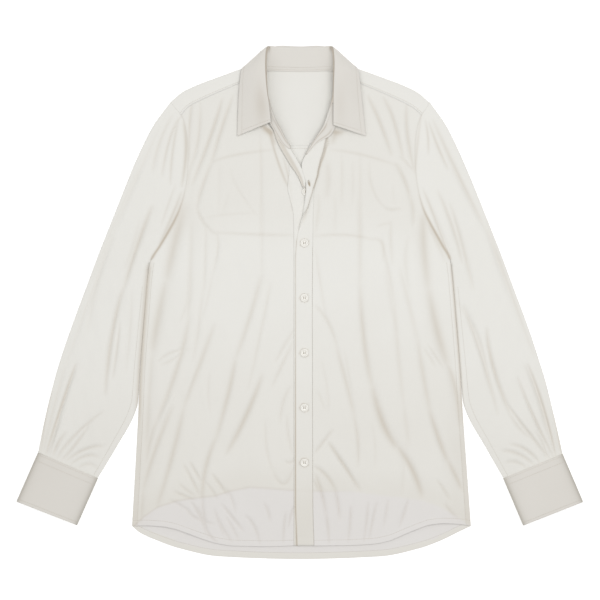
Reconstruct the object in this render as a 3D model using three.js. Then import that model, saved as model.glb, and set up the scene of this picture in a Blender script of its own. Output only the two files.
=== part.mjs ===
// Button-up blouse laid flat on its back: millimetres, X to the right, Y to the collar, Z up.
// The origin lies on the surface, under the middle of the garment. "Right" and "left" are the wearer's.
// Every cloth piece is a wall about a mid surface: seam lines give its plan, a height gives its lie.

import * as THREE from 'three';

// Cloth
const CLOTH = 1.2; // one layer
const DOUBLED = 1.5; // stand and collar
const CUFF_CLOTH = 1.8; // doubled and stiffened
const SEAM = 0.4; // gap kept between pieces sewn edge to edge
const SLEEVE_GAP = 0.9; // gap kept between a sleeve and the body
const FLOOR_LAYER = CLOTH / 2; // mid height of the layer that lies on the surface
const LOWEST_UPPER_LAYER = 2.1; // mid height of a layer that rests on that one

// Openings and bends
const SHOULDER_BEND = 1.5; // mid radius of the shoulder fold
const LAPEL_BEND = 1.7; // mid radius where a front edge is turned out
const LAPEL_CREEP = 0.05; // each step of the bend ends this much further out
const LAPEL_FULL_TURN = 7; // width turned out from which an edge lies right back
const LAPEL_ROLL_FROM = 4; // and from which its bend starts behind the roll
const PLACKET_LIFT = 1.75; // placket above the button band, mid to mid
const PLACKET_SIDE = 22; // side of the placket, distance from the middle
const PLACKET_RAMP = 34; // width over which the left front comes down again beside it
const SHOULDER_Y = 291;
const ARMPIT_Y = 65;
const HEM_CORNER_Y = -324;
const HEM_Y = -352.4; // front hem at the placket
const PRESSED_HEM = 62; // height over which the folds grow above the hem
const SLEEVE_FAN = 0.375; // share of the sleeve's lines that fan out from the armpit
const YOKE_FRONT = 1 / 12; // share of the armhole that the yoke takes in front
const YOKE_BACK = 5 / 12; // and at the back
const YOKE_BOW = 8; // the yoke's lines bow up beside the shoulder fold
const NECK_X = 87; // neck end of the shoulder fold
const NECK_BEND_X = 72; // where the yoke's neck edge turns to the back
const NECK_Y = 334.4;
const FRONT_TOP_Y = 324.5; // neck end of the front yoke seams
const CHEST_Y = 127; // where the turned-out edges end
const ARMPIT_ROW_Y = 80; // front edge of the row that ends at the armpit
const BAND_TOP_Y = 245.5;
const PLACKET_TOP_Y = 230.5;

// Buttons
const BUTTON_RADIUS = 5.9;
const BUTTON_THICKNESS = 2.2;
const BUTTON_X = 6.7;
const BUTTON_SPACING = 79.5;
const FIRST_BUTTON_Y = 86.6;
const FASTENED_BUTTONS = 5;
const OPEN_BUTTON = { x: 9, y: 161 }; // on the band, under the turned-out placket
const BUTTON_CLEARANCE = 0.3;
const BUTTON_BUMP = 15; // radius of the rise in the cloth over the open button
const BUTTON_ROUGHNESS = 0.35;

// Colours
const IVORY = 0xe6e4de;
const IVORY_DOUBLE = 0xd9d6d0;
const SHELL_WHITE = 0xf1efe9;
const CLOTH_ROUGHNESS = 0.75;

// Armholes and side seams, height: right x, left x
const BODY_EDGES = smoothTable([
  [HEM_CORNER_Y, -243.3, 248.2],
  [-234, -238.2, 241.7],
  [-150, -233.7, 235.8],
  [-103, -231.7, 233],
  [-22, -225.6, 226.5],
  [53, -218.5, 219.5],
  [ARMPIT_Y, -214, 217],
  [82, -203, 207.3],
  [101, -191.7, 197],
  [119, -182, 187.2],
  [137.5, -174, 178.8],
  [157, -168, 173.2],
  [178, -164, 169.5],
  [198, -162.5, 167.2],
  [218, -162, 167],
  [238, -163, 168],
  [258, -166.5, 171.5],
  [276, -174, 178.5],
  [SHOULDER_Y, -187, 188],
]);

// Front yoke seams, share from the neck: right x, right y, left x, left y
const FRONT_YOKE_SEAMS = smoothTable([
  [0, -72, 324.5, 71, 324.5],
  [0.16, -88, 318.7, 88, 318.2],
  [0.34, -107, 311.5, 107, 311.5],
  [0.67, -140, 298.5, 140, 299],
  [0.88, -163.5, 287, 164, 288],
  [1, -174, 276, 179, 277],
]);

// Shoulder fold, distance from the middle: height
const SHOULDER_FOLD = smoothTable([
  [84, 340],
  [86, 339.3],
  [117, 328],
  [147.6, 316.5],
  [171, 305.2],
  [188, 290.5],
]);

// Back yoke seam, share across: x, y
const BACK_YOKE_SEAM = smoothTable([
  [0, -162.5, 196.8],
  [0.13, -119, 211],
  [0.33, -55, 221.6],
  [0.5, 0, 228],
  [0.67, 54, 221.6],
  [0.87, 116, 211],
  [1, 167.2, 196.8],
]);

// Back hem, share across: x, y
const BACK_HEM = smoothTable([
  [0, -243.3, HEM_CORNER_Y],
  [0.02, -233, -333],
  [0.075, -207, -345],
  [0.145, -174, -356.5],
  [0.26, -117, -368],
  [0.5, 0, -371.9],
  [0.74, 117, -368],
  [0.855, 173, -356.5],
  [0.92, 205, -345],
  [0.965, 229.5, -333],
  [1, 248.2, HEM_CORNER_Y],
]);

// Front hems, share from the middle to the side: right x, right y, left x, left y
const FRONT_HEMS = smoothTable([
  [0, -9, -351, 21, -352.6],
  [0.17, -48, -352.4, 60, -352.3],
  [0.37, -95, -351.8, 104, -350.3],
  [0.47, -118, -348.8, 126.4, -346.3],
  [0.58, -144, -341, 152, -336],
  [0.66, -163, -334, 171, -328],
  [0.74, -182, -327.5, 189, -322],
  [0.82, -201, -324, 207.6, -320],
  [0.92, -224, -323, 230, -321],
  [1, -243.3, HEM_CORNER_Y, 248.2, HEM_CORNER_Y],
]);

// Front edges of the two front panels, height: right x, left x (neckline, then the band's seam)
const FRONT_EDGES = smoothTable([
  [-353, -8.8, 21],
  [-286, -8.8, 19.2],
  [4, -8.8, 18.5],
  [88, -8.8, 19],
  [127, -9.5, 19.4],
  [149, -14, 20],
  [167, -18, 20.6],
  [178, -17, 17.5],
  [192, -15.5, 9.5],
  [207, -15.5, 8.5],
  [222, -23, 14],
  [231, -27.5, 21],
  [237, -30, 33],
  [247, -36.5, 44],
  [260, -47, 51],
  [282, -57, 59],
  [306, -66, 66.5],
  [324.5, -72, 71],
]);

// Button band, height: free or rolled edge, width turned out beyond it
const BAND_EDGE = smoothTable([
  [-351, 16, 0],
  [127, 16, 0],
  [149, 11, 0],
  [163, 4.5, 0],
  [172, 2.5, 0],
  [188, 1, 9],
  [207, -3.5, 15],
  [222, -11, 15.5],
  [246, -22, 15],
]);

// Placket, height: free or rolled edge, width turned out beyond it, rise of the turned edge
const PLACKET_EDGE = smoothTable([
  [-352.6, -3.8, 0, 0],
  [-286, -5.9, 0, 0],
  [60, -5.9, 0, 0],
  [88, -4.2, 0, 0],
  [110, -0.6, 4, 0],
  [127, 1.7, 7, 0],
  [149, 4.9, 10, 0],
  [164, 7.1, 11.5, 0],
  [178, 6.8, 15, 0],
  [192, 4.2, 21, 1],
  [207, 4.8, 25, 3],
  [222, 10.5, 23.5, 6],
  [231, 17, 21, 8],
]);

// Collar stand from the left end round the back to the right end: share, seam x, y, z, upper edge x, y, z
const STAND = smoothTable([
  [0, -36, 250, 7, -27.5, 264, 9.5],
  [0.07, -54, 279, 7, -35, 281, 12],
  [0.14, -64.5, 305, 7, -43, 310, 14.5],
  [0.22, -66, 328, 6, -46.5, 345, 18],
  [0.27, -56, 336, 4.5, -46.5, 364, 17],
  [0.32, -42, 337.5, 3.2, -42, 368.3, 9.5],
  [0.4, -24, 335.8, 2.6, -23, 367.6, 6.8],
  [0.5, 0, 335.3, 2.6, 0, 367, 6.5],
  [0.6, 24, 335.8, 2.6, 23, 367.6, 6.8],
  [0.68, 42, 337.5, 3.2, 42, 368.3, 9.5],
  [0.73, 56, 336, 4.5, 46.5, 364, 17],
  [0.78, 66, 328, 6, 46, 345, 18],
  [0.86, 65, 305, 7, 44, 310, 14.5],
  [0.93, 53, 268, 7, 38.5, 272, 12],
  [1, 30, 241, 8, 19, 236.5, 10.5],
]);

// Collar from leaf to leaf: share, roll x, y, z, middle of the bend x, y, z, edge x, y, z
const COLLAR = smoothTable([
  [0, -42, 261.5, 12.5, -58, 255, 12, -90.6, 241.4, 7.2],
  [0.08, -44, 283, 14.6, -60, 279, 15, -89.6, 274, 7.2],
  [0.18, -48, 310, 17, -63, 308, 18, -88, 306, 7.2],
  [0.27, -50, 345, 20, -66, 338, 20.5, -85.4, 331, 8],
  [0.31, -48.5, 366.5, 19, -67, 352.5, 14, -82.5, 340.5, 5.5],
  [0.345, -44.8, 371, 12.4, -59, 364, 1.5, -70, 339.8, 1],
  [0.41, -24, 369.9, 6.6, -25, 374, 0.75, -37, 338, 0.75],
  [0.5, 0, 368.7, 6.2, 0, 373.5, 0.75, 0, 337.6, 0.75],
  [0.59, 24, 369.9, 6.6, 25, 374, 0.75, 37, 338, 0.75],
  [0.655, 44.8, 371, 12.4, 59, 364, 1.5, 70, 339.8, 1],
  [0.69, 48.5, 366.5, 19, 67, 352.5, 14, 82.5, 340.5, 5.5],
  [0.73, 50, 345, 20, 66, 338, 20.5, 85.4, 331, 8],
  [0.82, 49, 310, 17, 63, 308, 18, 88.5, 306, 7.2],
  [0.92, 48.5, 280, 14.6, 63, 277, 15, 92, 274, 7.2],
  [1, 48.5, 257, 12.5, 64, 252, 12, 95.6, 241.4, 7.2],
]);

// Sleeve edges: share, right outer x, y, right inner x, y, left outer x, y, left inner x, y.
// The first lines fan out from the armpit, the rest run across the sleeve.
const SLEEVE_EDGES = smoothTable([
  [0, -187, SHOULDER_Y, -214, ARMPIT_Y, 188, SHOULDER_Y, 217, ARMPIT_Y],
  [0.06, -211, 259.5, -215.5, 61.5, 211, 259.5, 218, 61.5],
  [0.125, -230.5, 222, -217.5, 57, 230, 222, 219, 57],
  [0.19, -246, 186.5, -219, 52, 245.5, 186.5, 220, 52],
  [0.25, -260.5, 150, -219.8, 46, 260.5, 150, 220.8, 46],
  [0.31, -275, 113.5, -220.6, 38, 275, 113.5, 221.6, 38],
  [SLEEVE_FAN, -289.5, 77, -221.5, 28, 289.5, 77, 222.5, 28],
  [0.5, -311, 19.5, -226.5, -31, 311, 19.5, 227.5, -31],
  [0.625, -332.5, -38.5, -231.5, -91, 332.5, -38.5, 232.5, -91],
  [0.73, -349.5, -89, -234.8, -143, 349, -89, 237, -143],
  [0.77, -355, -108, -240, -162, 355, -108, 243, -162],
  [0.875, -368, -160, -264, -206, 368, -160, 267, -205],
  [1, -380, -217.5, -293.5, -255, 381.5, -219.5, 295.7, -255],
]);

// Cuff corners: upper outer, upper inner, lower outer, lower inner
const CUFFS = {
  right: [[-380.5, -218.5], [-293.5, -256], [-411, -288], [-323, -322.5]],
  left: [[382, -220.5], [295.7, -256], [411, -288.5], [324, -323]],
};
const CUFF_HEIGHT = 5; // both layers together
const CUFF_CROWN = 0.5; // rise of the upper layer inside the edges

// Lie of the upper layer of the body, height along the body: mid height at the sides, mid height inside
const BODY_LIE = smoothTable([
  [-353, 2.1, 2.6],
  [-300, 2.1, 4],
  [-200, 2.1, 5.4],
  [0, 2.1, 5.7],
  [40, 2.2, 5.7],
  [ARMPIT_Y, 3, 5.7],
  [90, 3.8, 5.7],
  [150, 4.2, 5.6],
  [250, 4, 4.8],
  [291, 3.7, 4.1],
  [330, 3.6, 3.8],
]);
const BODY_ROUNDING = 46; // width over which the sides round down

// Lie of a sleeve, share of the length: mid height at its edges, mid height inside
const SLEEVE_LIE = smoothTable([
  [0, 3.4, 4.6],
  [0.15, 3.6, 5.2],
  [0.5, 3.6, 5.3],
  [0.85, 3.4, 4.8],
  [1, 3, 3.6],
]);

// Large folds of the body: start x, y, middle x, y, end x, y, height (a trough is negative), half width
const BODY_FOLDS = [
  [-34, 38, -69, -42, -92, -95, -1.6, 12],
  [-92, -95, -118, -190, -143, -270, -2.4, 13],
  [-50, -110, -75, -180, -104, -215, -2.2, 12],
  [-118, 32, -127, -83, -118, -170, -1.5, 14],
  [-8, -60, -58, -118, -100, -205, -1.2, 13],
  [-162, -140, -190, -220, -216, -310, -2.4, 13],
  [-195, 110, -205, 10, -207, -90, -2.2, 20],
  [-152, 290, -162, 245, -140, 190, -1.3, 11],
  [-110, 304, -130, 222, -153, 172, -1.3, 13],
  [87, 33, 92, -90, 115, -170, -1.8, 12],
  [115, -170, 148, -215, 178, -278, -3, 13],
  [130, 68, 145, -60, 184, -141, -1.5, 13],
  [184, -141, 205, -200, 231, -270, -2.4, 13],
  [27, 45, 55, -60, 76, -135, -1.4, 12],
  [190, 108, 205, 0, 226, -100, -2.6, 20],
  [92, 312, 130, 225, 157, 150, -1.4, 13],
  [42, -203, 58, -225, 88, -270, -1.6, 11],
];

// Large folds of the sleeves
const SLEEVE_FOLDS = {
  right: [
    [-175, 262, -188, 190, -196, 110, -2.2, 11],
    [-186, 268, -200, 215, -200, 185, -1.6, 10],
    [-226, 120, -250, 20, -278, -100, -2.4, 15],
    [-325, -90, -350, -150, -370, -215, -1.8, 13],
    [-300, -20, -330, -120, -342, -215, -0.8, 10],
    [-260, -60, -300, -150, -318, -225, -0.8, 10],
  ],
  left: [
    [181, 262, 190, 200, 205, 105, -2.2, 11],
    [190, 265, 215, 190, 226, 120, -1.4, 11],
    [226, 120, 238, 60, 253, 23, -2.4, 14],
    [236, -5, 265, -80, 290, -165, -2.2, 13],
    [275, 100, 320, -30, 370, -185, -2, 15],
    [271, -38, 300, -140, 334, -193, -0.9, 11],
  ],
};

// Grid steps
const PANEL_COLUMNS = 12;
const BACK_COLUMNS = 16;
const YOKE_STRIP_COLUMNS = 10; // of the front panel's columns, those that meet the yoke
const YOKE_ARMHOLE_LINES = 5;
const SHOULDER_STEPS = 4;
const NECK_LEVELS = 19;
const CHEST_LEVELS = 3;
const LOWER_LEVELS = 11;
const BACK_ARMHOLE_ROWS = 8;
const BACK_ROWS = 10;
const SLEEVE_SECTIONS = 16;
const SLEEVE_COLUMNS = 12;
const CUFF_SECTIONS = 3;
const CUFF_COLUMNS = 6;
const EDGE_STEPS = 3; // of a half turn at the edge of a tube
const LAPEL_STEPS = 4;
const STAND_ROWS = 30;
const STAND_COLUMNS = 3;
const COLLAR_ROWS = 34;
const COLLAR_COLUMNS = 5;
const FOLD_STEPS = 10;
const BUTTON_SIDES = 16;

// Monotone cubic through a table whose first column is the parameter
function smoothTable(rows) {
  const at = rows.map((row) => row[0]);
  const columns = rows[0].slice(1).map((_, column) => rows.map((row) => row[column + 1]));
  const slopes = columns.map((values) => monotoneSlopes(at, values));
  return (parameter) => {
    const t = THREE.MathUtils.clamp(parameter, at[0], at[at.length - 1]);
    let k = 0;
    while (k < at.length - 2 && t > at[k + 1]) {
      k += 1;
    }
    const span = at[k + 1] - at[k];
    const s = (t - at[k]) / span;
    return columns.map((values, column) => {
      const slope = slopes[column];
      const rise = values[k + 1] - values[k];
      const start = slope[k] * span;
      const end = slope[k + 1] * span;
      return values[k] + s * (start + s * (3 * rise - 2 * start - end + s * (start + end - 2 * rise)));
    });
  };
}

function monotoneSlopes(at, values) {
  const chords = at.slice(1).map((t, k) => (values[k + 1] - values[k]) / (t - at[k]));
  return at.map((_, k) => {
    if (k === 0 || k === at.length - 1) {
      return chords[Math.min(k, chords.length - 1)];
    }
    const before = chords[k - 1];
    const after = chords[k];
    return before * after <= 0 ? 0 : (2 * before * after) / (before + after);
  });
}

function mix(a, b, share) {
  return a + (b - a) * share;
}

function smoothStep(from, to, value) {
  const share = THREE.MathUtils.clamp((value - from) / (to - from), 0, 1);
  return share * share * (3 - 2 * share);
}

// Soft ridge or trough along a curve through three points, fading at both ends
function foldHeight(folds, x, y) {
  let height = 0;
  for (const [x0, y0, x1, y1, x2, y2, rise, width] of folds) {
    let nearest = Infinity;
    let along = 0;
    for (let k = 0; k <= FOLD_STEPS; k += 1) {
      const s = k / FOLD_STEPS;
      const px = x0 * (1 - s) * (1 - 2 * s) + 4 * x1 * s * (1 - s) + x2 * s * (2 * s - 1);
      const py = y0 * (1 - s) * (1 - 2 * s) + 4 * y1 * s * (1 - s) + y2 * s * (2 * s - 1);
      const distance = Math.hypot(x - px, y - py);
      if (distance < nearest) {
        nearest = distance;
        along = s;
      }
    }
    const fade = Math.sqrt(Math.sin(Math.PI * mix(0.1, 0.9, along)));
    height += rise * fade * Math.exp(-((nearest / width) ** 2));
  }
  return height;
}

// Mid height of the upper layer of the body
function bodyHeight(x, y) {
  const [side, inside] = BODY_LIE(y);
  const halfWidth = Math.abs(BODY_EDGES(y)[x < 0 ? 0 : 1]);
  const inward = THREE.MathUtils.clamp((halfWidth - Math.abs(x)) / BODY_ROUNDING, 0, 1);
  const share = 1 - (1 - inward) ** 2;
  const lower = smoothStep(HEM_Y, HEM_Y + PRESSED_HEM, y);
  const rise = (inside - side) * share + foldHeight(BODY_FOLDS, x, y) * share * mix(0.25, 1, lower);
  return Math.max(side + rise, LOWEST_UPPER_LAYER);
}

// Height down the armhole, share of it from the shoulder
function armholeY(share) {
  return mix(SHOULDER_Y, ARMPIT_Y, share);
}

// Mid height of the left front and the placket, which lie over the button band
function lappedHeight(x, y) {
  const ramp = 1 - smoothStep(PLACKET_SIDE, PLACKET_SIDE + PLACKET_RAMP, x);
  const away = Math.hypot(x - OPEN_BUTTON.x, y - OPEN_BUTTON.y);
  const overButton = (BUTTON_THICKNESS + 2 * BUTTON_CLEARANCE) * Math.exp(-((away / BUTTON_BUMP) ** 4));
  return bodyHeight(x, y) + PLACKET_LIFT * ramp + overButton;
}

function cross(a, b) {
  return new THREE.Vector3().crossVectors(a, b);
}

// Geometry from vertices and triangles, turned so that its faces point out
function solid(vertices, triangles) {
  let volume = 0;
  for (const [a, b, c] of triangles) {
    volume += vertices[a].dot(cross(vertices[b], vertices[c]));
  }
  const outward = volume < 0 ? triangles.map(([a, b, c]) => [a, c, b]) : triangles;
  const positions = vertices.flatMap((point) => point.toArray());
  const geometry = new THREE.BufferGeometry();
  geometry.setAttribute('position', new THREE.Float32BufferAttribute(positions, 3));
  geometry.setIndex(outward.flat());
  geometry.computeVertexNormals();
  return geometry;
}

// Closed wall about a grid of mid points; a ring grid is joined from its last column to its first
function wall(grid, thickness, ring = false) {
  const rows = grid.length;
  const columns = grid[0].length;
  const columnAt = (i) => (ring ? (i + columns) % columns : THREE.MathUtils.clamp(i, 0, columns - 1));
  const at = (j, i) => grid[j][columnAt(i)];
  const vertices = [[], []];
  for (let j = 0; j < rows; j += 1) {
    for (let i = 0; i < columns; i += 1) {
      const along = at(Math.min(j + 1, rows - 1), i).clone().sub(at(Math.max(j - 1, 0), i));
      const across = at(j, i + 1).clone().sub(at(j, i - 1));
      const normal = cross(across, along).normalize().multiplyScalar(thickness / 2);
      vertices[0].push(at(j, i).clone().add(normal));
      vertices[1].push(at(j, i).clone().sub(normal));
    }
  }
  const index = (side, j, i) => side * rows * columns + j * columns + (ring ? i % columns : i);
  const triangles = [];
  const quad = (a, b, c, d) => triangles.push([a, b, c], [a, c, d]);
  const spans = ring ? columns : columns - 1;
  for (let j = 0; j < rows - 1; j += 1) {
    for (let i = 0; i < spans; i += 1) {
      quad(index(0, j, i), index(0, j, i + 1), index(0, j + 1, i + 1), index(0, j + 1, i));
      quad(index(1, j, i), index(1, j + 1, i), index(1, j + 1, i + 1), index(1, j, i + 1));
    }
    if (!ring) {
      quad(index(0, j, 0), index(0, j + 1, 0), index(1, j + 1, 0), index(1, j, 0));
      quad(index(0, j, spans), index(1, j, spans), index(1, j + 1, spans), index(0, j + 1, spans));
    }
  }
  const last = rows - 1;
  for (let i = 0; i < spans; i += 1) {
    quad(index(0, 0, i), index(1, 0, i), index(1, 0, i + 1), index(0, 0, i + 1));
    quad(index(0, last, i), index(0, last, i + 1), index(1, last, i + 1), index(1, last, i));
  }
  return solid(vertices.flat(), triangles);
}

const blouse = new THREE.Group();

function addPiece(name, geometry, color, roughness = CLOTH_ROUGHNESS) {
  const mesh = new THREE.Mesh(geometry, new THREE.MeshStandardMaterial({ color, roughness, metalness: 0 }));
  mesh.name = name;
  blouse.add(mesh);
  return mesh;
}

function gridOf(rows, columns, point) {
  return rows.map((row) => columns.map((column) => point(column, row)));
}

function steps(count) {
  return Array.from({ length: count + 1 }, (_, k) => k / count);
}

// Heights of the front panels' rows at the front edge, from the neck to the hem
const LEVELS = [
  ...steps(NECK_LEVELS).map((s) => mix(FRONT_TOP_Y, CHEST_Y, s)),
  ...steps(CHEST_LEVELS).slice(1).map((s) => mix(CHEST_Y, ARMPIT_ROW_Y, s)),
  ...steps(LOWER_LEVELS).slice(1).map((s) => mix(ARMPIT_ROW_Y, HEM_Y, s)),
];
const ARMHOLE_ROWS = NECK_LEVELS + CHEST_LEVELS;

// Front panel: side 0 is the wearer's right, side 1 the left
function frontPanel(side) {
  const far = (row) => {
    const lower = (row - ARMHOLE_ROWS) / LOWER_LEVELS;
    const upperY = armholeY(mix(YOKE_FRONT, 1, row / ARMHOLE_ROWS));
    const y = lower > 0 ? mix(ARMPIT_Y, HEM_CORNER_Y, lower) : upperY;
    return [BODY_EDGES(y)[side], y];
  };
  const edgeAt = (table, u) => table(u).slice(2 * side, 2 * side + 2);
  const seamGap = SEAM * 0.75;
  const rows = LEVELS.map((_, row) => row);
  const grid = gridOf(rows, steps(PANEL_COLUMNS), (u, row) => {
    const near = [FRONT_EDGES(LEVELS[row])[side], LEVELS[row]];
    const outer = far(row);
    const topPull = Math.max(0, 1 - row / ARMHOLE_ROWS) ** 3;
    const hemPull = Math.max(0, (row - ARMHOLE_ROWS) / LOWER_LEVELS) ** 2;
    const place = [0, 1].map((axis) => {
      const ruled = mix(near[axis], outer[axis], u);
      const seam = edgeAt(FRONT_YOKE_SEAMS, u);
      const seamChord = mix(edgeAt(FRONT_YOKE_SEAMS, 0)[axis], edgeAt(FRONT_YOKE_SEAMS, 1)[axis], u);
      const hem = edgeAt(FRONT_HEMS, u);
      const hemChord = mix(edgeAt(FRONT_HEMS, 0)[axis], edgeAt(FRONT_HEMS, 1)[axis], u);
      return ruled + topPull * (seam[axis] - seamChord) + hemPull * (hem[axis] - hemChord);
    });
    const [x, y] = [place[0], place[1] - seamGap * topPull];
    return new THREE.Vector3(x, y, side === 0 ? bodyHeight(x, y) : lappedHeight(x, y));
  });
  return wall(grid, CLOTH);
}

function backPanel() {
  const heights = [
    ...steps(BACK_ARMHOLE_ROWS).map((s) => armholeY(mix(YOKE_BACK, 1, s))),
    ...steps(BACK_ROWS).slice(1).map((s) => mix(ARMPIT_Y, HEM_CORNER_Y, s)),
  ];
  const grid = gridOf(heights.map((_, row) => row), steps(BACK_COLUMNS), (u, row) => {
    const y = heights[row];
    const [right, left] = BODY_EDGES(y);
    const seamPull = Math.max(0, 1 - row / BACK_ARMHOLE_ROWS) ** 2;
    const hemPull = Math.max(0, (row - BACK_ARMHOLE_ROWS) / BACK_ROWS) ** 2;
    const bend = [0, 1].map((axis) => {
      const seamChord = mix(BACK_YOKE_SEAM(0)[axis], BACK_YOKE_SEAM(1)[axis], u);
      const hemChord = mix(BACK_HEM(0)[axis], BACK_HEM(1)[axis], u);
      return seamPull * (BACK_YOKE_SEAM(u)[axis] - seamChord) + hemPull * (BACK_HEM(u)[axis] - hemChord);
    });
    return new THREE.Vector3(mix(right, left, u) + bend[0], y + bend[1] - SEAM * seamPull, FLOOR_LAYER);
  });
  return wall(grid, CLOTH);
}

// Yoke: lines from the neck edge to the outer edge, from one front seam round the back to the other
function yokePanel() {
  const line = (point) => steps(YOKE_STRIP_COLUMNS).map(point);
  const half = (side) => {
    const sign = side === 0 ? -1 : 1;
    const shoulderX = Math.abs(BODY_EDGES(SHOULDER_Y)[side]);
    const foldY = (x) => SHOULDER_FOLD(Math.abs(x))[0];
    const upper = FLOOR_LAYER + 2 * SHOULDER_BEND;
    const frontLines = [0, 0.5].map((s) => line((w) => {
      const share = mix(1 - YOKE_STRIP_COLUMNS / PANEL_COLUMNS, 1, w);
      const [x, y] = FRONT_YOKE_SEAMS(share).slice(2 * side, 2 * side + 2);
      const foldX = sign * mix(NECK_X, shoulderX, w);
      const z = mix(bodyHeight(x, y), upper, s);
      return new THREE.Vector3(mix(x, foldX, s), mix(y, foldY(x) - SHOULDER_BEND, s), z);
    }));
    const bendLines = steps(SHOULDER_STEPS).map((s) => line((w) => {
      const turn = Math.PI * (0.5 - s);
      const x = sign * mix(NECK_X, shoulderX - CLOTH / 2, w);
      const y = foldY(x) - CLOTH / 2 - SHOULDER_BEND * (1 - Math.cos(turn));
      return new THREE.Vector3(x, y, FLOOR_LAYER + SHOULDER_BEND * (1 + Math.sin(turn)));
    }));
    const armholeLines = steps(YOKE_ARMHOLE_LINES).slice(1).map((s) => line((w) => {
      const outerY = armholeY(s * YOKE_BACK);
      const outerX = BODY_EDGES(outerY)[side];
      const innerX = sign * mix(NECK_X - 1, NECK_BEND_X, s);
      const bow = YOKE_BOW * (1 - s) ** 2 * Math.sin(Math.PI * w);
      return new THREE.Vector3(mix(innerX, outerX, w), mix(NECK_Y, outerY, w) + bow, FLOOR_LAYER);
    }));
    const seamLines = steps(BACK_COLUMNS / 2).slice(1, -1).map((s) => line((w) => {
      const [outerX, outerY] = BACK_YOKE_SEAM(side === 0 ? s / 2 : 1 - s / 2);
      const innerX = sign * mix(NECK_BEND_X, 0, s);
      return new THREE.Vector3(mix(innerX, outerX, w), mix(NECK_Y, outerY, w), FLOOR_LAYER);
    }));
    return [...frontLines, ...bendLines, ...armholeLines, ...seamLines];
  };
  const [middleX, middleY] = BACK_YOKE_SEAM(0.5);
  const middle = line((w) => new THREE.Vector3(middleX * w, mix(NECK_Y, middleY, w), FLOOR_LAYER));
  return wall([...half(0), middle, ...half(1).reverse()], CLOTH);
}

// Strip along the front opening: from its seam to the roll, round the roll, and back over itself
function frontStrip({ levels, seam, edge, thickness, height, direction, gap }) {
  const rows = levels.map((level) => {
    const [roll, turned, rise = 0] = edge(level);
    const start = seam(level) + gap * direction;
    const bendStart = roll - direction * (thickness / 2 + LAPEL_BEND);
    const flatEnd = mix(roll, bendStart, smoothStep(0, LAPEL_ROLL_FROM, turned));
    const flat = steps(2).map((s) => [mix(start, flatEnd, s), 0, 0]);
    const angle = Math.PI * smoothStep(0, LAPEL_FULL_TURN, turned);
    const bend = steps(LAPEL_STEPS).slice(1).map((s) => {
      const reach = LAPEL_BEND * Math.sin(angle * s) + LAPEL_CREEP * LAPEL_STEPS * s;
      return [flatEnd + direction * reach, LAPEL_BEND * (1 - Math.cos(angle * s)), 0];
    });
    const [lastX, lastZ] = bend[LAPEL_STEPS - 1];
    const length = Math.max(thickness / 2, turned - LAPEL_BEND);
    const leaf = steps(2).slice(1).map((s) => {
      const reach = length * s * Math.cos(angle) * direction;
      return [lastX + reach, lastZ + length * s * Math.sin(angle), rise * s];
    });
    const points = [...flat, ...bend, ...leaf];
    return points.map(([x, lift, up]) => new THREE.Vector3(x, level + up, height(x, level) + lift));
  });
  return wall(rows, thickness);
}

function levelsBelow(top) {
  return [top, ...LEVELS.filter((level) => level < top - 2)];
}

// Tube laid flat: mid points round one section, underneath from outer to inner edge and back on top.
// An edge is the direction from it into the cloth.
function tubeRow({ place, edges, bottom, topAt, thickness, columns }) {
  const radii = [0, 1].map((u) => (topAt(u) - bottom) / 2);
  const across = (u) => {
    const [x, y] = place(u);
    const pulls = [(1 - u) ** 4, u ** 4].map((share, k) => share * (thickness / 2 + radii[k]));
    return [0, 1].map((axis) => [x, y][axis] + pulls[0] * edges[0][axis] + pulls[1] * edges[1][axis]);
  };
  const turned = (k, turn) => {
    const inset = thickness / 2 + radii[k] * (1 - Math.cos(turn));
    const [x, y] = place(k);
    const z = bottom + radii[k] * (1 + Math.sin(turn));
    return new THREE.Vector3(x + inset * edges[k][0], y + inset * edges[k][1], z);
  };
  const turns = steps(EDGE_STEPS).slice(1, -1).map((s) => Math.PI * (s - 0.5));
  return [
    ...steps(columns).map((u) => new THREE.Vector3(...across(u), bottom)),
    ...turns.map((turn) => turned(1, turn)),
    ...steps(columns).map((u) => new THREE.Vector3(...across(1 - u), topAt(1 - u))),
    ...turns.map((turn) => turned(0, -turn)),
  ];
}

// Unit direction at right angles to the line from one point to another, turned to the left of it
function leftOf([x0, y0], [x1, y1]) {
  const length = Math.hypot(x1 - x0, y1 - y0);
  return [(y0 - y1) / length, (x1 - x0) / length];
}

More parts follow.
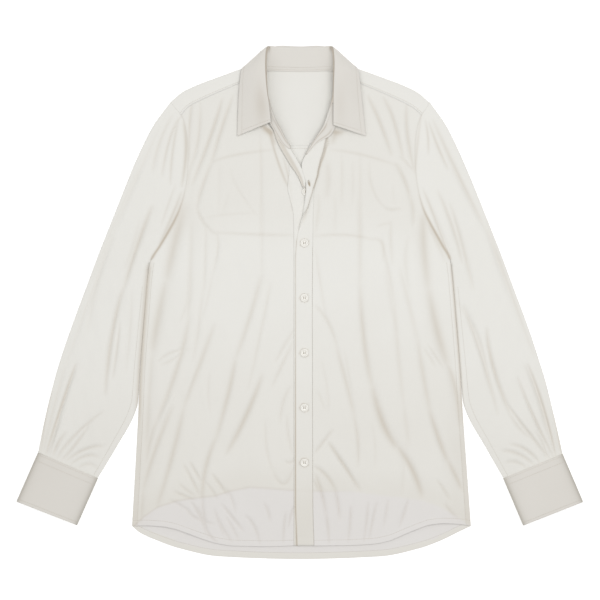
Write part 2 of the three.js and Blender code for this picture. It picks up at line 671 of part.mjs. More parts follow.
function sleeve(side) {
  const sign = side === 0 ? -1 : 1;
  const folds = side === 0 ? SLEEVE_FOLDS.right : SLEEVE_FOLDS.left;
  const edgePoints = (v) => {
    const [outerX, outerY, innerX, innerY] = SLEEVE_EDGES(v).slice(4 * side, 4 * side + 4);
    return [[outerX, outerY], [innerX, innerY]];
  };
  const armhole = (u) => [BODY_EDGES(armholeY(u))[side], armholeY(u)];
  const rows = steps(SLEEVE_SECTIONS).map((v) => {
    const [outer, inner] = edgePoints(v);
    const [before, after] = [edgePoints(Math.max(v - 0.02, 0)), edgePoints(Math.min(v + 0.02, 1))];
    const inward = [-sign, sign];
    const edges = inward.map((turn, k) => leftOf(before[k], after[k]).map((part) => part * turn));
    const pull = Math.max(0, 1 - v / SLEEVE_FAN) ** 1.5;
    const place = (u) => {
      const bow = pull * (armhole(u)[0] - mix(armhole(0)[0], armhole(1)[0], u));
      const y = mix(outer[1], inner[1], u);
      const away = Math.abs(mix(outer[0], inner[0], u) + bow);
      const gap = SLEEVE_GAP * (1 + u ** 8 + (1 - u) ** 8);
      return [sign * Math.max(away, Math.abs(BODY_EDGES(y)[side]) + gap), y];
    };
    const [edge, inside] = SLEEVE_LIE(v);
    const topAt = (u) => {
      const [x, y] = place(u);
      const crown = 1 - Math.abs(2 * u - 1) ** 3;
      const ends = smoothStep(0, 0.08, v) * (1 - smoothStep(0.94, 1, v));
      const fold = foldHeight(folds, x, y) * crown * ends;
      const lie = Math.max(edge + (inside - edge) * crown + fold, LOWEST_UPPER_LAYER);
      return mix(bodyHeight(...armhole(u)), lie, smoothStep(0, 0.16, v));
    };
    const bottom = FLOOR_LAYER;
    return tubeRow({ place, edges, bottom, topAt, thickness: CLOTH, columns: SLEEVE_COLUMNS });
  });
  return wall(rows, CLOTH, true);
}

function cuff(corners, sign) {
  const [upperOuter, upperInner, lowerOuter, lowerInner] = corners;
  const bottom = CUFF_CLOTH / 2;
  const top = CUFF_HEIGHT - CUFF_CLOTH / 2;
  const edges = [
    leftOf(upperOuter, lowerOuter).map((part) => part * -sign),
    leftOf(upperInner, lowerInner).map((part) => part * sign),
  ];
  const rows = steps(CUFF_SECTIONS).map((v) => {
    const place = (u) => [0, 1].map((axis) => {
      const outer = mix(upperOuter[axis], lowerOuter[axis], v);
      return mix(outer, mix(upperInner[axis], lowerInner[axis], v), u);
    });
    const topAt = (u) => top + CUFF_CROWN * Math.sin(Math.PI * u);
    return tubeRow({ place, edges, bottom, topAt, thickness: CUFF_CLOTH, columns: CUFF_COLUMNS });
  });
  return wall(rows, CUFF_CLOTH, true);
}

function collarStand() {
  const rows = steps(STAND_ROWS).map((s) => {
    const [seamX, seamY, seamZ, topX, topY, topZ] = STAND(s);
    return steps(STAND_COLUMNS).map((w) => {
      return new THREE.Vector3(mix(seamX, topX, w), mix(seamY, topY, w), mix(seamZ, topZ, w));
    });
  });
  return wall(rows, DOUBLED);
}

function collar() {
  const rows = steps(COLLAR_ROWS).map((s) => {
    const [rollX, rollY, rollZ, bendX, bendY, bendZ, edgeX, edgeY, edgeZ] = COLLAR(s);
    const bezier = (a, b, c, w) => (1 - w) ** 2 * a + 2 * w * (1 - w) * b + w * w * c;
    return steps(COLLAR_COLUMNS).map((w) => new THREE.Vector3(
      bezier(rollX, bendX, edgeX, w),
      bezier(rollY, bendY, edgeY, w),
      bezier(rollZ, bendZ, edgeZ, w),
    ));
  });
  return wall(rows, DOUBLED);
}

// Button with a raised rim and a dished middle, its underside at z = 0
function buttonGeometry() {
  const rim = BUTTON_RADIUS;
  const profile = [
    [0, 0],
    [rim * 0.8, 0],
    [rim, BUTTON_THICKNESS * 0.35],
    [rim * 0.93, BUTTON_THICKNESS],
    [rim * 0.72, BUTTON_THICKNESS * 0.8],
    [0, BUTTON_THICKNESS * 0.62],
  ];
  const lathe = new THREE.LatheGeometry(profile.map(([r, z]) => new THREE.Vector2(r, z)), BUTTON_SIDES);
  return lathe.rotateX(Math.PI / 2);
}

addPiece('back', backPanel(), IVORY);
addPiece('yoke', yokePanel(), IVORY);
addPiece('front_right', frontPanel(0), IVORY);
addPiece('front_left', frontPanel(1), IVORY);
addPiece('button_band', frontStrip({
  levels: levelsBelow(BAND_TOP_Y),
  seam: (y) => FRONT_EDGES(y)[0],
  edge: BAND_EDGE,
  thickness: CLOTH,
  height: bodyHeight,
  direction: 1,
  gap: SEAM,
}), IVORY);
addPiece('placket', frontStrip({
  levels: levelsBelow(PLACKET_TOP_Y),
  seam: (y) => FRONT_EDGES(y)[1],
  edge: PLACKET_EDGE,
  thickness: CLOTH,
  height: lappedHeight,
  direction: -1,
  gap: SEAM,
}), IVORY);
addPiece('collar_stand', collarStand(), IVORY_DOUBLE);
addPiece('collar', collar(), IVORY_DOUBLE);
addPiece('sleeve_right', sleeve(0), IVORY);
addPiece('sleeve_left', sleeve(1), IVORY);
addPiece('cuff_right', cuff(CUFFS.right, -1), IVORY_DOUBLE);
addPiece('cuff_left', cuff(CUFFS.left, 1), IVORY_DOUBLE);

for (let k = 0; k < FASTENED_BUTTONS; k += 1) {
  const button = addPiece(`button_${k + 1}`, buttonGeometry(), SHELL_WHITE, BUTTON_ROUGHNESS);
  const y = FIRST_BUTTON_Y - k * BUTTON_SPACING;
  button.position.set(BUTTON_X, y, lappedHeight(BUTTON_X, y) + CLOTH / 2 + 2 * BUTTON_CLEARANCE);
}
const openButton = addPiece('button_top', buttonGeometry(), SHELL_WHITE, BUTTON_ROUGHNESS);
const openButtonHeight = bodyHeight(OPEN_BUTTON.x, OPEN_BUTTON.y) + CLOTH / 2 + BUTTON_CLEARANCE;
openButton.position.set(OPEN_BUTTON.x, OPEN_BUTTON.y, openButtonHeight);

export default blouse;
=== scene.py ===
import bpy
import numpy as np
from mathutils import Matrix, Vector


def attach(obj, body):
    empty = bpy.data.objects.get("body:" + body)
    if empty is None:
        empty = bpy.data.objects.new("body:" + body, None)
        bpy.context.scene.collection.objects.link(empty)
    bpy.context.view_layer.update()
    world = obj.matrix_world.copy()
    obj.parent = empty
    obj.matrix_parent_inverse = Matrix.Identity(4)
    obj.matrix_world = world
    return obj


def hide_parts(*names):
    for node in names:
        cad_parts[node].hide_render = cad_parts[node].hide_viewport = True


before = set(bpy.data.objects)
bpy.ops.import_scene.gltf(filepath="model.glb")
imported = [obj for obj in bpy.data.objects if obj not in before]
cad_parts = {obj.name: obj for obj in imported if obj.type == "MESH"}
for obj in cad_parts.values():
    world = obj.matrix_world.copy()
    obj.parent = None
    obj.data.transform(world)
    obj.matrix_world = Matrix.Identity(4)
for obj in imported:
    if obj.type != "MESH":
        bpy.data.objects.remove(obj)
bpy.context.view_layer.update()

# Button-up blouse laid flat on its back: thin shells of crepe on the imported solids, with their folds, hems,
# stitching and shell buttons. Shapes are worked out in millimetres and placed in metres.
# "Right" and "left" are the wearer's. Every cloth shell is a wall about a mid surface point(u, v).

MM = 0.001

# Cloth
CLOTH = 0.7  # one layer, with the fullness of its weave
INTERLINED = 1.3  # stand and collar
CUFF_CLOTH = 1.5
FLOOR_LAYER = 0.5  # mid height of the layer on the surface
LOWEST_UPPER_LAYER = 1.45
NECK_RISE, NECK_HALF_WIDTH = 3, 30  # hill of the back inside the open neck
BODY_UNEVEN, SLEEVE_UNEVEN, BACK_UNEVEN = 0.35, 0.5, 0.12  # height of the cloth's unevenness
BODY_SEED, SLEEVE_SEED, BACK_SEED = 11, 21, 5  # of its waves; the left sleeve's is one higher
FOLDS_IN_HEM = 0.45  # share of a fold's height that is left in the pressed hem
STRIPS_X = 6  # middle of the two strips, which are pressed smooth
SLEEVE_GAP = -0.3  # the sleeve's edge is tucked under the body's
HEM_BAND = 8  # height of the turned hem
HEM_RISE = 0.45
LOWER_LAYER_SHARE = 0.7  # of that rise and of the unevenness, in the layer on the surface
SEAM_DIP = 0.25  # how far cloth sinks to a seam
SEAM_WIDTH = 1.6  # half width of that dip
SHOULDER_BEND = 1.5
STRIP_SEAM_DIP, STRIP_SEAM_WIDTH = 0.3, 0.8
LAPEL_BEND = 1.15
LAPEL_FULL_TURN = 7
LAPEL_ROLL_FROM = 4
PLACKET_LIFT = 0.85
PLACKET_SIDE = 22
PLACKET_RAMP = 34

# Cut
SHOULDER_Y = 291
ARMPIT_Y = 65
HEM_CORNER_Y = -324
HEM_Y = -352.4
PRESSED_HEM = 42
SLEEVE_FAN = 0.375
YOKE_FRONT = 1 / 12
YOKE_BACK = 5 / 12
YOKE_BOW = 8
YOKE_STRIP = 1 / 12  # share of the front seam that the collar covers
NECK_X = 80
NECK_BEND_X = 72
NECK_Y = 338
FRONT_TOP_Y = 324.5
CHEST_Y = 127
ARMPIT_ROW_Y = 80
FRONT_ROW = 10  # rough height of one row of the fronts
BAND_TOP_Y = 245.5
PLACKET_TOP_Y = 230.5
STRIP_ROWS = 236
CHEST_ROW, ARMHOLE_ROWS, FRONT_ROWS = 19, 22, 33
BACK_ARMHOLE_ROWS, BACK_ROWS = 8, 18

# Lengths along the cloth, by which grids and stitch lines are spaced
FRONT_WIDTH, FRONT_ARMHOLE = 235, 250
OPENING_LENGTH, SIDE_LENGTH = 432, 389  # from the armpit down to the hem
BACK_WIDTH, BACK_ARMHOLE, BACK_LENGTH = 490, 150, 420
BACK_TAIL = 48  # how much longer the back is in the middle than at the sides
BACK_HEM_START, BACK_HEM_SPAN = -243, 491  # x of its right end, and from there to the left one
SLEEVE_WIDTH, SLEEVE_HEAD, SLEEVE_LENGTH = 190, 300, 330
CUFF_WIDTH, CUFF_DEPTH = 96, 76
STAND_DEPTH = 32
YOKE_WIDTH = 118
LEAF_LENGTH, LEAF_DEPTH = 120, 56

# Stitch lines, from the edge or seam that each one follows
SIDE_STITCH = 7
LOWER_SLEEVE_WIDTH = 110  # by which the sleeve's is spaced
LEAF_STITCH, LEAF_WIDTH = 5.5, 52
CUFF_STITCHES = 2.5, 11, 71.5
STAND_STITCHES = 2.5, 6, 26

# Buttons
BUTTON_RADIUS = 5.9
BUTTON_THICKNESS = 2.2
BUTTON_X = 6.7
BUTTON_SPACING = 79.5
FIRST_BUTTON_Y = 86.6
FASTENED_BUTTONS = 5
OPEN_BUTTON_X, OPEN_BUTTON_Y = 9, 161
BUTTON_CLEARANCE = 0.3
BUTTON_BUMP = 15
HOLE_REACH = 1.15  # from the middle of a button to its holes, across and down


def smooth_table(rows):
    """Monotone cubic through a table whose first column is the parameter; gives the other columns."""
    table = np.array(rows, float)
    at, values = table[:, 0], table[:, 1:]
    chords = np.diff(values, axis=0) / np.diff(at)[:, None]
    product, total = chords[:-1] * chords[1:], chords[:-1] + chords[1:]
    inner = np.where(product > 0, 2 * product / np.where(total == 0, 1, total), 0)
    slopes = np.vstack([chords[:1], inner, chords[-1:]])

    def value(parameter):
        """The other columns at a parameter: a cubic between its two rows, with their slopes."""
        t = np.clip(np.asarray(parameter, float), at[0], at[-1])
        k = np.clip(np.searchsorted(at, t, side="right") - 1, 0, len(at) - 2)
        span = (at[k + 1] - at[k])[..., None]
        s = (t - at[k])[..., None] / span
        rise = values[k + 1] - values[k]
        start, end = slopes[k] * span, slopes[k + 1] * span
        return values[k] + s * (start + s * (3 * rise - 2 * start - end + s * (start + end - 2 * rise)))

    return value


# Armholes and side seams, height: right x, left x
BODY_EDGES = smooth_table([
    [HEM_CORNER_Y, -243.3, 248.2],
    [-234, -238.2, 241.7],
    [-150, -233.7, 235.8],
    [-103, -231.7, 233],
    [-22, -225.6, 226.5],
    [53, -218.5, 219.5],
    [ARMPIT_Y, -214, 217],
    [82, -203, 207.3],
    [101, -191.7, 197],
    [119, -182, 187.2],
    [137.5, -174, 178.8],
    [157, -168, 173.2],
    [178, -164, 169.5],
    [198, -162.5, 167.2],
    [218, -162, 167],
    [238, -163, 168],
    [258, -166.5, 171.5],
    [276, -174, 178.5],
    [SHOULDER_Y, -187, 188],
])

# Front yoke seams, share from the neck: right x, right y, left x, left y
FRONT_YOKE_SEAMS = smooth_table([
    [0, -72, 324.5, 71, 324.5],
    [0.16, -88, 318.7, 88, 318.2],
    [0.34, -107, 311.5, 107, 311.5],
    [0.67, -140, 298.5, 140, 299],
    [0.88, -163.5, 287, 164, 288],
    [1, -174, 276, 179, 277],
])

# Shoulder fold, distance from the middle: height
SHOULDER_FOLD = smooth_table([
    [84, 340],
    [86, 339.3],
    [117, 328],
    [147.6, 316.5],
    [171, 305.2],
    [188, 290.5],
])

# Back yoke seam, share across: x, y
BACK_YOKE_SEAM = smooth_table([
    [0, -162.5, 196.8],
    [0.13, -119, 211],
    [0.33, -55, 221.6],
    [0.5, 0, 228],
    [0.67, 54, 221.6],
    [0.87, 116, 211],
    [1, 167.2, 196.8],
])

# Back hem, share across: x, y
BACK_HEM = smooth_table([
    [0, -243.3, HEM_CORNER_Y],
    [0.02, -233, -333],
    [0.075, -207, -345],
    [0.145, -174, -356.5],
    [0.26, -117, -368],
    [0.5, 0, -371.9],
    [0.74, 117, -368],
    [0.855, 173, -356.5],
    [0.92, 205, -345],
    [0.965, 229.5, -333],
    [1, 248.2, HEM_CORNER_Y],
])

# Front hems, share from the middle to the side: right x, right y, left x, left y
FRONT_HEMS = smooth_table([
    [0, -9, -351, 21, -352.6],
    [0.17, -48, -352.4, 60, -352.3],
    [0.37, -95, -351.8, 104, -350.3],
    [0.47, -118, -348.8, 126.4, -346.3],
    [0.58, -144, -341, 152, -336],
    [0.66, -163, -334, 171, -328],
    [0.74, -182, -327.5, 189, -322],
    [0.82, -201, -324, 207.6, -320],
    [0.92, -224, -323, 230, -321],
    [1, -243.3, HEM_CORNER_Y, 248.2, HEM_CORNER_Y],
])

# Front edges of the front panels, height: right x, left x (neckline, then the band's seam)
FRONT_EDGES = smooth_table([
    [-353, -8.8, 21],
    [-286, -8.8, 19.2],
    [4, -8.8, 18.5],
    [88, -8.8, 19],
    [127, -9.5, 19.4],
    [149, -14, 20],
    [167, -18, 20.6],
    [178, -17, 17.5],
    [192, -15.5, 9.5],
    [207, -15.5, 8.5],
    [222, -23, 14],
    [231, -27.5, 21],
    [237, -30, 33],
    [247, -36.5, 44],
    [260, -47, 51],
    [282, -57, 59],
    [306, -66, 66.5],
    [324.5, -72, 71],
])

# Button band, height: free or rolled edge, width turned out beyond it, rise of the turned edge
BAND_EDGE = smooth_table([
    [-351, 16, 0, 0],
    [127, 16, 0, 0],
    [149, 12, 0, 0],
    [158, 10.5, 2, 0],
    [165, 9.3, 4.4, 0],
    [177, 8.6, 8.3, 0],
    [190, 4.6, 11.6, 0],
    [200, 0.3, 14.5, 0],
    [224, -13.8, 14.9, 1],
    [246, -26, 12, 3],
])

# Placket, the same columns
PLACKET_EDGE = smooth_table([
    [-352.6, -3.8, 0, 0],
    [-286, -5.9, 0, 0],
    [60, -5.9, 0, 0],
    [88, -4.2, 0, 0],
    [100, -2, 0, 0],
    [110, 0.3, 2.8, 0],
    [127, 3.9, 4.2, 0],
    [137, 5.4, 5.8, 0],
    [152, 7.8, 7.6, 0],
    [160, 9, 9, 0],
    [170, 9, 12, 0],
    [178, 7.5, 16, 0],
    [185, 5.4, 20.5, 1],
    [192, 3.2, 23.8, 2],
    [200, 2.5, 27, 4],
    [207, 4.6, 27.6, 6],
    [214, 8.3, 26.5, 8],
    [222, 11.9, 24.9, 10],
    [231, 16.2, 23.2, 11.5],
])

# Collar stand from the left end round the back to the right end: share, seam x, y, z, upper edge x, y, z
STAND = smooth_table([
    [0, -15, 222.5, 8.4, -12.8, 225, 8.7],
    [0.03, -24.5, 229, 8.3, -19, 235, 9.3],
    [0.06, -36, 247, 7, -27, 250.6, 10.4],
    [0.09, -47, 268, 6.2, -35.5, 266, 11.8],
    [0.115, -57, 286, 6, -42.6, 286, 13.6],
    [0.14, -64, 303, 5.6, -46.2, 303, 15.4],
    [0.22, -66, 328, 4.8, -48, 345, 18],
    [0.27, -56, 336, 3.4, -46.5, 365.5, 17],
    [0.32, -42, 336.5, 1.8, -42.5, 370, 10],
    [0.4, -24, 335.8, 1.2, -23, 369.3, 6.8],
    [0.5, 0, 335.3, 1.2, 0, 368.7, 6.5],
    [0.6, 24, 335.8, 1.2, 23, 369.3, 6.8],
    [0.68, 42, 336.5, 1.8, 42.5, 370, 10],
    [0.73, 56, 336, 3.4, 46.5, 365.5, 17],
    [0.78, 66, 328, 4.8, 48, 345, 18],
    [0.86, 65, 303, 5.6, 47.4, 303, 15.4],
    [0.89, 62, 284, 6, 43.6, 284, 13.6],
    [0.91, 57, 270, 6.4, 40.3, 273, 12.8],
    [0.95, 45, 243.5, 8.6, 34, 256.5, 11.8],
    [0.98, 25, 231, 9.6, 24.2, 240.5, 10.9],
    [1, 9, 214, 9.7, 7.8, 214.5, 10],
])

# Collar from leaf to leaf: share, roll x, y, z, middle of the bend x, y, z, edge x, y, z
COLLAR = smooth_table([
    [0, -42, 261.5, 12.5, -58, 255, 12, -90.6, 241.4, 7.2],
    [0.08, -44, 283, 14.6, -60, 279, 15, -89.6, 274, 7.2],
    [0.18, -48, 310, 17, -63, 308, 18, -88, 306, 7.2],
    [0.27, -50, 345, 20, -66, 338, 20.5, -85.4, 331, 8],
    [0.31, -48.5, 366.5, 19, -67, 352.5, 14, -82.5, 340.5, 5.5],
    [0.345, -44.8, 371, 12.4, -59, 364, 1.5, -70, 339.8, 1],
    [0.41, -24, 369.9, 6.6, -25, 374, 0.75, -37, 338, 0.75],
    [0.5, 0, 368.7, 6.2, 0, 373.5, 0.75, 0, 337.6, 0.75],
    [0.59, 24, 369.9, 6.6, 25, 374, 0.75, 37, 338, 0.75],
    [0.655, 44.8, 371, 12.4, 59, 364, 1.5, 70, 339.8, 1],
    [0.69, 48.5, 366.5, 19, 67, 352.5, 14, 82.5, 340.5, 5.5],
    [0.73, 50, 345, 20, 66, 338, 20.5, 85.4, 331, 8],
    [0.82, 49, 310, 17, 63, 308, 18, 88.5, 306, 7.2],
    [0.92, 48.5, 280, 14.6, 63, 277, 15, 92, 274, 7.2],
    [1, 48.5, 257, 12.5, 64, 252, 12, 95.6, 241.4, 7.2],
])

TUCK_REACH, TUCK_DEPTH = 2.5, 1.6  # how far the stand goes on towards the leaf, and below its roll
LEAF_SHARE = 0.3  # of the collar, at each end
LEAF_SWELL = 0.6

# Shares of the stand and of the collar that are sewn together
STAND_TO_COLLAR = [0.09, 0.14, 0.22, 0.27, 0.32, 0.5, 0.68, 0.73, 0.78, 0.86, 0.91], [
    0, 0.155, 0.27, 0.305, 0.345, 0.5, 0.655, 0.695, 0.73, 0.84, 1]

# Sleeve edges: share, right outer x, y, right inner x, y, left outer x, y, left inner x, y.
# The first lines fan out from the armpit, the rest run across the sleeve.
SLEEVE_EDGES = smooth_table([
    [0, -187, SHOULDER_Y, -214, ARMPIT_Y, 188, SHOULDER_Y, 217, ARMPIT_Y],
    [0.06, -211, 259.5, -215.5, 61.5, 211, 259.5, 218, 61.5],
    [0.125, -230.5, 222, -217.5, 57, 230, 222, 219, 57],
    [0.19, -246, 186.5, -219, 52, 245.5, 186.5, 220, 52],
    [0.25, -260.5, 150, -219.8, 46, 260.5, 150, 220.8, 46],
    [0.31, -275, 113.5, -220.6, 38, 275, 113.5, 221.6, 38],
    [SLEEVE_FAN, -289.5, 77, -221.5, 28, 289.5, 77, 222.5, 28],
    [0.5, -311, 19.5, -226.5, -31, 311, 19.5, 227.5, -31],
    [0.625, -332.5, -38.5, -231.5, -91, 332.5, -38.5, 232.5, -91],
    [0.73, -349.5, -89, -234.8, -143, 349, -89, 237, -143],
    [0.77, -355, -108, -240, -162, 355, -108, 243, -162],
    [0.875, -368, -160, -264, -206, 368, -160, 267, -205],
    [1, -380, -217.5, -293.5, -255, 381.5, -219.5, 295.7, -255],
])

# Cuff corners: upper outer, upper inner, lower outer, lower inner
CUFF_CORNERS = {
    "right": [(-379.9, -217.2), (-292.9, -254.7), (-411, -288), (-323, -322.5)],
    "left": [(381.4, -219.2), (295.1, -254.7), (411, -288.5), (324, -323)],
}
CUFF_HEIGHT = 5
CUFF_CROWN, CUFF_DIP = 0.7, 0.35  # rise of its upper layer in the middle, and fall along seam and end

# Lie of the upper layer of the body, height along the body: mid height at the sides, mid height inside
BODY_LIE = smooth_table([
    [-353, 1.45, 1.9],
    [-300, 1.5, 4],
    [-200, 1.6, 6],
    [0, 1.7, 6.4],
    [30, 2, 6.4],
    [ARMPIT_Y, 4, 6.4],
    [90, 5, 6.4],
    [150, 5, 6],
    [250, 4.4, 5],
    [291, 3.7, 4.1],
    [330, 3.6, 3.8],
])
BODY_ROUNDING = 50

# Lie of a sleeve, share of the length: mid height at its edges, mid height inside
SLEEVE_LIE = smooth_table([
    [0, 3.4, 4.6],
    [0.15, 3.6, 5.8],
    [0.5, 3.6, 6.4],
    [0.85, 3.4, 5.8],
    [1, 3, 4],
])

# Folds: start x, y, middle x, y, end x, y, height (a trough is negative), half width
RIGHT_FRONT_FOLDS = [
    # from the bust to the hem
    [-55, 149, -55, 91, -56, 33, -0.7, 3.5],
    [-56, 40, -72, -19, -94, -83, -2.1, 5],
    [-94, -83, -103, -129, -122, -199, -2.7, 5],
    [-120, -193, -136, -237, -142, -286, -2.6, 4.5],
    [-142, -277, -139, -309, -133, -341, -1.8, 3],
    [-43, 27, -53, -25, -75, -126, -1.3, 3.5],
    [-55, -106, -78, -164, -106, -218, -3.2, 5],
    [-8, -39, -23, -63, -35, -86, -1.4, 3],
    [-10, -57, -27, -93, -40, -121, -1.6, 3],
    [-13, -121, -24, -144, -29, -176, -1.4, 3],
    [-50, -173, -48, -213, -39, -244, -1.1, 3],
    [-40, -241, -24, -263, -10, -241, -1.3, 3],
    [-19, -163, -17, -190, -11, -219, -1.1, 2.5],
    [-21, -229, -14, -232, -7, -225, -1.3, 2],
    # beside the side seam
    [-168, 140, -184, 77, -194, 30, -2.9, 11],
    [-193, 39, -207, -28, -214, -71, -2.7, 10],
    [-214, -68, -219, -141, -222, -216, -1.3, 5.5],
    [-159, 33, -162, 4, -174, -28, -1.1, 3.5],
    [-157, 116, -159, 40, -163, -30, -1.3, 6],
    [-141, 20, -146, -30, -155, -84, -1.1, 4],
    [-161, -22, -177, -92, -207, -170, -2.4, 5],
    [-206, -167, -217, -199, -222, -231, -1.4, 4.5],
    [-124, -32, -145, -89, -169, -154, -2.1, 5],
    [-168, -150, -185, -222, -207, -295, -2.4, 5.5],
    [-184, -151, -209, -211, -227, -271, -2.1, 4.5],
    [-227, -269, -229, -295, -230, -318, -1.1, 3.5],
    [-182, -132, -193, -153, -203, -176, 1.6, 3.5],
    [-149, -92, -159, -118, -168, -138, 1.3, 4.5],
    [-130, -100, -133, -129, -129, -161, -0.8, 3],
    # crumples above the hem
    [-168, -235, -156, -257, -145, -280, -1.8, 1.7],
    [-159, -231, -151, -245, -142, -260, -1.8, 1.7],
    [-127, -248, -116, -263, -104, -280, -1.9, 1.7],
    [-182, -274, -168, -280, -152, -286, -1.5, 1.7],
    [-158, -287, -145, -309, -136, -332, -1.9, 1.7],
    [-136, -327, -130, -338, -119, -348, -1.8, 1.7],
    [-148, -295, -140, -318, -137, -335, -1.5, 1.7],
    [-113, -292, -97, -312, -82, -331, -1.9, 1.7],
    [-124, -300, -116, -321, -110, -338, -1.5, 1.7],
    [-79, -309, -66, -324, -58, -350, -1.9, 2.1],
    [-52, -290, -46, -303, -43, -318, -1.5, 2.1],
    [-20, -303, -23, -327, -24, -348, -1.8, 2.1],
    [-8, -295, -13, -309, -17, -327, -1.5, 1.7],
    [-107, -269, -98, -286, -93, -306, -1.2, 2.1],
    [-165, -298, -151, -312, -124, -321, -1.5, 1.7],
    [-188, -286, -171, -295, -156, -306, -1.2, 1.7],
    [-118, -316, -107, -334, -98, -348, -1.4, 1.7],
    [-107, -310, -96, -329, -88, -346, -1.4, 1.7],
    [-175, -262, -164, -272, -151, -281, -1.2, 1.7],
    [-139, -258, -128, -271, -119, -285, -1.2, 1.7],
    # fine creases beside the side seam
    [-206, -86, -188, -73, -159, -67, -1.3, 2],
    [-203, -90, -185, -83, -168, -71, -1.1, 2],
    # chest
    [-156, 290, -160, 259, -160, 205, -1.9, 3],
    [-145, 293, -147, 240, -158, 200, -1.5, 3.5],
    [-148, 222, -158, 198, -162, 166, -1.0, 3],
    [-113, 296, -128, 246, -156, 172, -2.5, 3.5],
    [-97, 300, -113, 254, -129, 200, -2.2, 3.5],
    [-127, 206, -140, 172, -149, 140, -1.8, 3.5],
    [-150, 143, -141, 119, -121, 98, -1.4, 2],
    [-136, 113, -137, 62, -140, 10, -1.3, 3],
    [-121, 101, -119, 77, -127, 39, -1.3, 3],
    [-127, 42, -133, 10, -143, -25, -0.7, 3.5],
    [-101, 194, -88, 162, -57, 121, -0.6, 1.7],
    [-58, 244, -56, 170, -57, 90, -1, 3.5],
    [-117, 200, -117, 162, -117, 124, -0.4, 4],
    [-102, 160, -107, 145, -113, 128, -0.4, 5],
]
LEFT_FRONT_FOLDS = [
    # from the bust to the hem
    [86, 152, 87, 91, 87, 21, -1.4, 5],
    [87, 27, 93, -54, 105, -124, -2.7, 5.5],
    [105, -121, 121, -176, 142, -211, -3.7, 7],
    [141, -208, 163, -242, 177, -280, -3.7, 6],
    [118, 91, 128, 48, 137, -2, -1.3, 4.5],
    [137, 4, 142, -68, 151, -153, -1.3, 5],
    [151, -147, 154, -176, 158, -208, -1.0, 4.5],
    [23, 77, 29, 33, 38, -22, -1.1, 3],
    [23, -5, 41, -28, 54, -64, -1.8, 3.5],
    [52, -60, 67, -115, 79, -164, -2.1, 4.5],
    [77, -160, 84, -199, 84, -237, -1.8, 3.5],
    [64, -68, 70, -100, 76, -135, -0.7, 3],
    [105, -176, 109, -208, 109, -240, -0.7, 3],
    [31, -83, 39, -121, 42, -161, -0.8, 3],
    [25, -126, 31, -141, 38, -157, -0.8, 2.5],
    # beside the side seam
    [179, 129, 180, 77, 187, 16, -2.9, 10],
    [186, 24, 199, -39, 215, -92, -3.1, 10],
    [213, -86, 226, -126, 232, -176, -2.9, 6],
    [183, 117, 197, 91, 212, 59, -1.6, 5.5],
    [145, 50, 158, -2, 171, -57, -1.3, 5],
    [170, -51, 180, -112, 189, -158, -2.1, 5],
    [187, -153, 202, -199, 215, -231, -3.2, 5],
    [213, -226, 226, -251, 235, -271, -2.6, 4.5],
    [155, -193, 151, -242, 148, -277, -0.6, 4.5],
    # crumples beside the placket and above the hem
    [42, -203, 61, -231, 87, -271, -3.4, 3],
    [48, -184, 34, -202, 22, -218, -1.8, 2.5],
    [21, -237, 39, -251, 51, -271, -2.5, 3],
    [50, -267, 55, -289, 58, -315, -2, 3],
    [23, -250, 32, -277, 38, -306, -2.2, 2.5],
    [37, -300, 41, -327, 42, -350, -2, 2.5],
    [21, -257, 25, -266, 29, -273, -1.5, 2],
    [74, -295, 73, -318, 70, -347, -1.8, 2.5],
    [99, -290, 97, -315, 93, -347, -1.7, 2.5],
    [112, -289, 106, -315, 100, -344, -1.7, 2.5],
    [157, -286, 151, -306, 145, -325, -1.7, 2.5],
    [199, -257, 209, -271, 218, -286, -1.5, 2.5],
    [211, -292, 219, -303, 229, -313, -1.5, 2.5],
    [128, -286, 125, -306, 121, -327, -1.3, 2.5],
    # fine creases beside the side seam
    [186, -61, 197, -77, 209, -95, -1.3, 2],
    [180, -66, 189, -80, 197, -92, -1.1, 2],
    # chest
    [98, 300, 116, 262, 133, 214, -2.5, 3.5],
    [121, 298, 137, 262, 149, 210, -2.3, 3.5],
    [155, 287, 156, 245, 166, 190, -2.3, 3.5],
    [145, 213, 156, 202, 166, 190, -1.4, 3],
    [139, 202, 152, 177, 160, 150, -2.2, 4],
    [159, 156, 164, 135, 164, 112, -1.6, 4.5],
    [100, 203, 106, 163, 126, 136, -1, 2.2],
    [122, 138, 134, 135, 147, 137, -1.3, 2],
    [136, 170, 135, 157, 138, 143, -0.4, 2.5],
    [60, 216, 61, 180, 60, 142, -0.9, 3.5],
    [76, 206, 77, 175, 76, 142, -0.6, 4],
    [87, 216, 87, 155, 87, 92, -0.8, 3.5],
    [40, 204, 41, 178, 38, 152, -1.2, 7],
    [50, 158, 51, 130, 50, 100, -0.6, 4],
    [28, 156, 26, 128, 22, 100, -1, 4],
    [157, 94, 153, 59, 158, 19, -1.0, 5],
    [132, 116, 132, 88, 134, 55, -1.3, 3.5],
]
